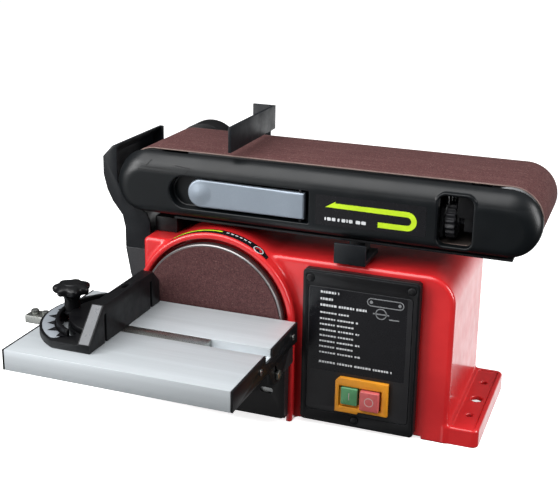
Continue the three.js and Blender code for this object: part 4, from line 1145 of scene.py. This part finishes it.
DRESSED = {
    "bottom_plate": (STEEL, 0.2), "cord_inlet": (RUBBER, 0.5), "lower_disc_guard": (GUARD_BLACK, 0.5),
    "switch_body": (BLACK, 0.4), "motor_casing": (MOTOR_GREY, 0.8), "stator": (COPPER, 0),
    "motor_end_bell": (CAST_METAL, 0.8), "front_bearing": (STEEL, 0.3), "rear_bearing": (STEEL, 0.3),
    "rotor_shaft": (STEEL, 0.3), "cooling_fan": (BLACK, 0.3), "capacitor": (MOTOR_GREY, 0.8),
    "motor_pulley": (CAST_METAL, 0.3), "roller_pulley": (CAST_METAL, 0.3), "drive_belt": (RUBBER, 0.3),
    "pivot_pillar": (BLACK_PAINT, 0.6), "drive_cover": (BLACK, 1.2), "left_guard": (SLATE, 0.5),
    # the steel platen gets black paint as painted shade: its edge shows in the shaded gap under the belt
    "guard_skirt": (GREY_PAINT, 0.5), "arm_frame": (GREY_PAINT, 0.4), "platen": (BLACK_PAINT, 0.3),
    "lower_belt_guard": (BLACK_PAINT, 0.3), "stop_fence": (SLATE, 0.4), "fence_bolt": (STEEL, 0.3),
    "roller_bearing": (STEEL, 0.3), "lever_pin": (BLACK_PAINT, 0.3), "drive_roller": (RUBBER, 0.5),
    # the idler carriage gets black paint as painted shade: it is seen only through the window, inside the
    # cover
    "idler_roller": (CAST_METAL, 0.5), "idler_carriage": (BLACK_PAINT, 0.4), "arm_rest": (SLATE, 0.6),
    "table_top": (TABLE_METAL, 0.45), "end_cap_left": (BLACK, 0.3), "end_cap_right": (BLACK, 0.3),
    "trunnion_left": (BLACK_PAINT, 0.3), "trunnion_right": (BLACK_PAINT, 0.3),
    "table_lock_bolt": (STEEL, 0.4), "gauge_bar": (STEEL, 0.4), "bar_bolt_1": (STEEL, 0.4),
    "bar_bolt_2": (STEEL, 0.4), "gauge_head": (CAST_BLACK, 0.6), "angle_scale": (SCALE_PLATE, 0.1),
}

# ---- stage


def area_light(name, at, aim, size, watts):
    data = bpy.data.lights.new(name, "AREA")
    data.shape = "RECTANGLE"
    data.size, data.size_y = size
    data.energy = watts
    lamp = bpy.data.objects.new(name, data)
    lamp.location = at
    lamp.rotation_mode = "QUATERNION"
    lamp.rotation_quaternion = (Vector(aim) - Vector(at)).to_track_quat("-Z", "Y")
    bpy.context.scene.collection.objects.link(lamp)


def studio():
    floor_mesh = bpy.data.meshes.new("floor")
    reach = 12
    floor_mesh.from_pydata([(-reach, -reach, 0), (reach, -reach, 0), (reach, reach, 0),
                            (-reach, reach, 0)], [], [(0, 1, 2, 3)])
    floor = bpy.data.objects.new("floor", floor_mesh)
    bpy.context.scene.collection.objects.link(floor)
    floor_mesh.materials.append(plain(
        "floor_paint", rgb(250, 250, 250), 0.9, 4.0, 0.01, Emission_Color=(1, 1, 1, 1),
        Emission_Strength=0.75))
    floor.visible_glossy = floor.visible_diffuse = floor.visible_shadow = False

    world = bpy.data.worlds.new("studio")
    bpy.context.scene.world = world
    world.use_nodes = True
    nodes, links = world.node_tree.nodes, world.node_tree.links
    sky = nodes["Background"]
    where = nodes.new("ShaderNodeTexCoord")
    glow, dimmest = None, 0.06
    # a dim room that is brighter overhead, low in front on the left, and off the bench behind
    glows = (((0, 0, 1), 0.35, 0.95, 0.45), ((-0.65, -0.72, -0.25), 0.84, 0.985, 0.8),
             ((0.25, 0.92, -0.3), 0.9, 0.99, 1.45))
    for way, start, end, amount in glows:
        along = nodes.new("ShaderNodeVectorMath")
        along.operation = "DOT_PRODUCT"
        links.new(where.outputs["Generated"], along.inputs[0])
        along.inputs[1].default_value = way
        part = nodes.new("ShaderNodeMapRange")
        part.inputs["From Min"].default_value = start
        part.inputs["From Max"].default_value = end
        part.inputs["To Max"].default_value = amount
        links.new(along.outputs["Value"], part.inputs["Value"])
        added = nodes.new("ShaderNodeMath")
        added.inputs[1].default_value = dimmest
        links.new(part.outputs["Result"], added.inputs[0])
        if glow:
            links.new(glow, added.inputs[1])
        glow = added.outputs["Value"]
    sky.inputs["Color"].default_value = (0.98, 0.99, 1.0, 1)
    links.new(glow, sky.inputs["Strength"])

    area_light("top_softbox", (-0.4, -0.7, 1.3), (-0.05, 0, 0.15), (1.5, 1.4), 30)
    area_light("left_softbox", (-1.5, -1.2, 0.8), (-0.05, 0, 0.12), (0.8, 1.0), 26)
    area_light("right_softbox", (1.7, -0.1, 0.75), (0.1, 0, 0.12), (0.7, 1.1), 27)
    bpy.context.scene.view_settings.view_transform = "Standard"


def camera():
    """A view from the front right, a little above: place in metres, and turns in radians."""
    at = (0.33269, -0.91825, 0.51839)
    yaw, pitch, roll = 0.336, -0.285, 0.022
    forward = Vector((-math.sin(yaw) * math.cos(pitch), math.cos(yaw) * math.cos(pitch),
                      math.sin(pitch)))
    level = Vector((math.cos(yaw), math.sin(yaw), 0))
    above = level.cross(forward)
    right = math.cos(roll) * level + math.sin(roll) * above
    up = math.cos(roll) * above - math.sin(roll) * level
    data = bpy.data.cameras.new("camera")
    data.lens, data.sensor_width = 69.30, 36.0
    data.shift_x, data.shift_y = -0.0376, -0.0824
    made = bpy.data.objects.new("camera", data)
    turn = Matrix((right, up, -forward)).transposed().to_4x4()
    made.matrix_world = Matrix.Translation(at) @ turn
    bpy.context.scene.collection.objects.link(made)
    bpy.context.scene.camera = made


# ---- build

camera()
studio()
for node_name, (finish, edge) in DRESSED.items():
    dress(node_name, finish, edge)
housing()
hump_print()
cover()
belt()
lever()
disc()
slot_painted_light()
gauge_knob()
lock_knob()
tracking_knob()
gauge()
switch()
panel()
fasteners()
spring()
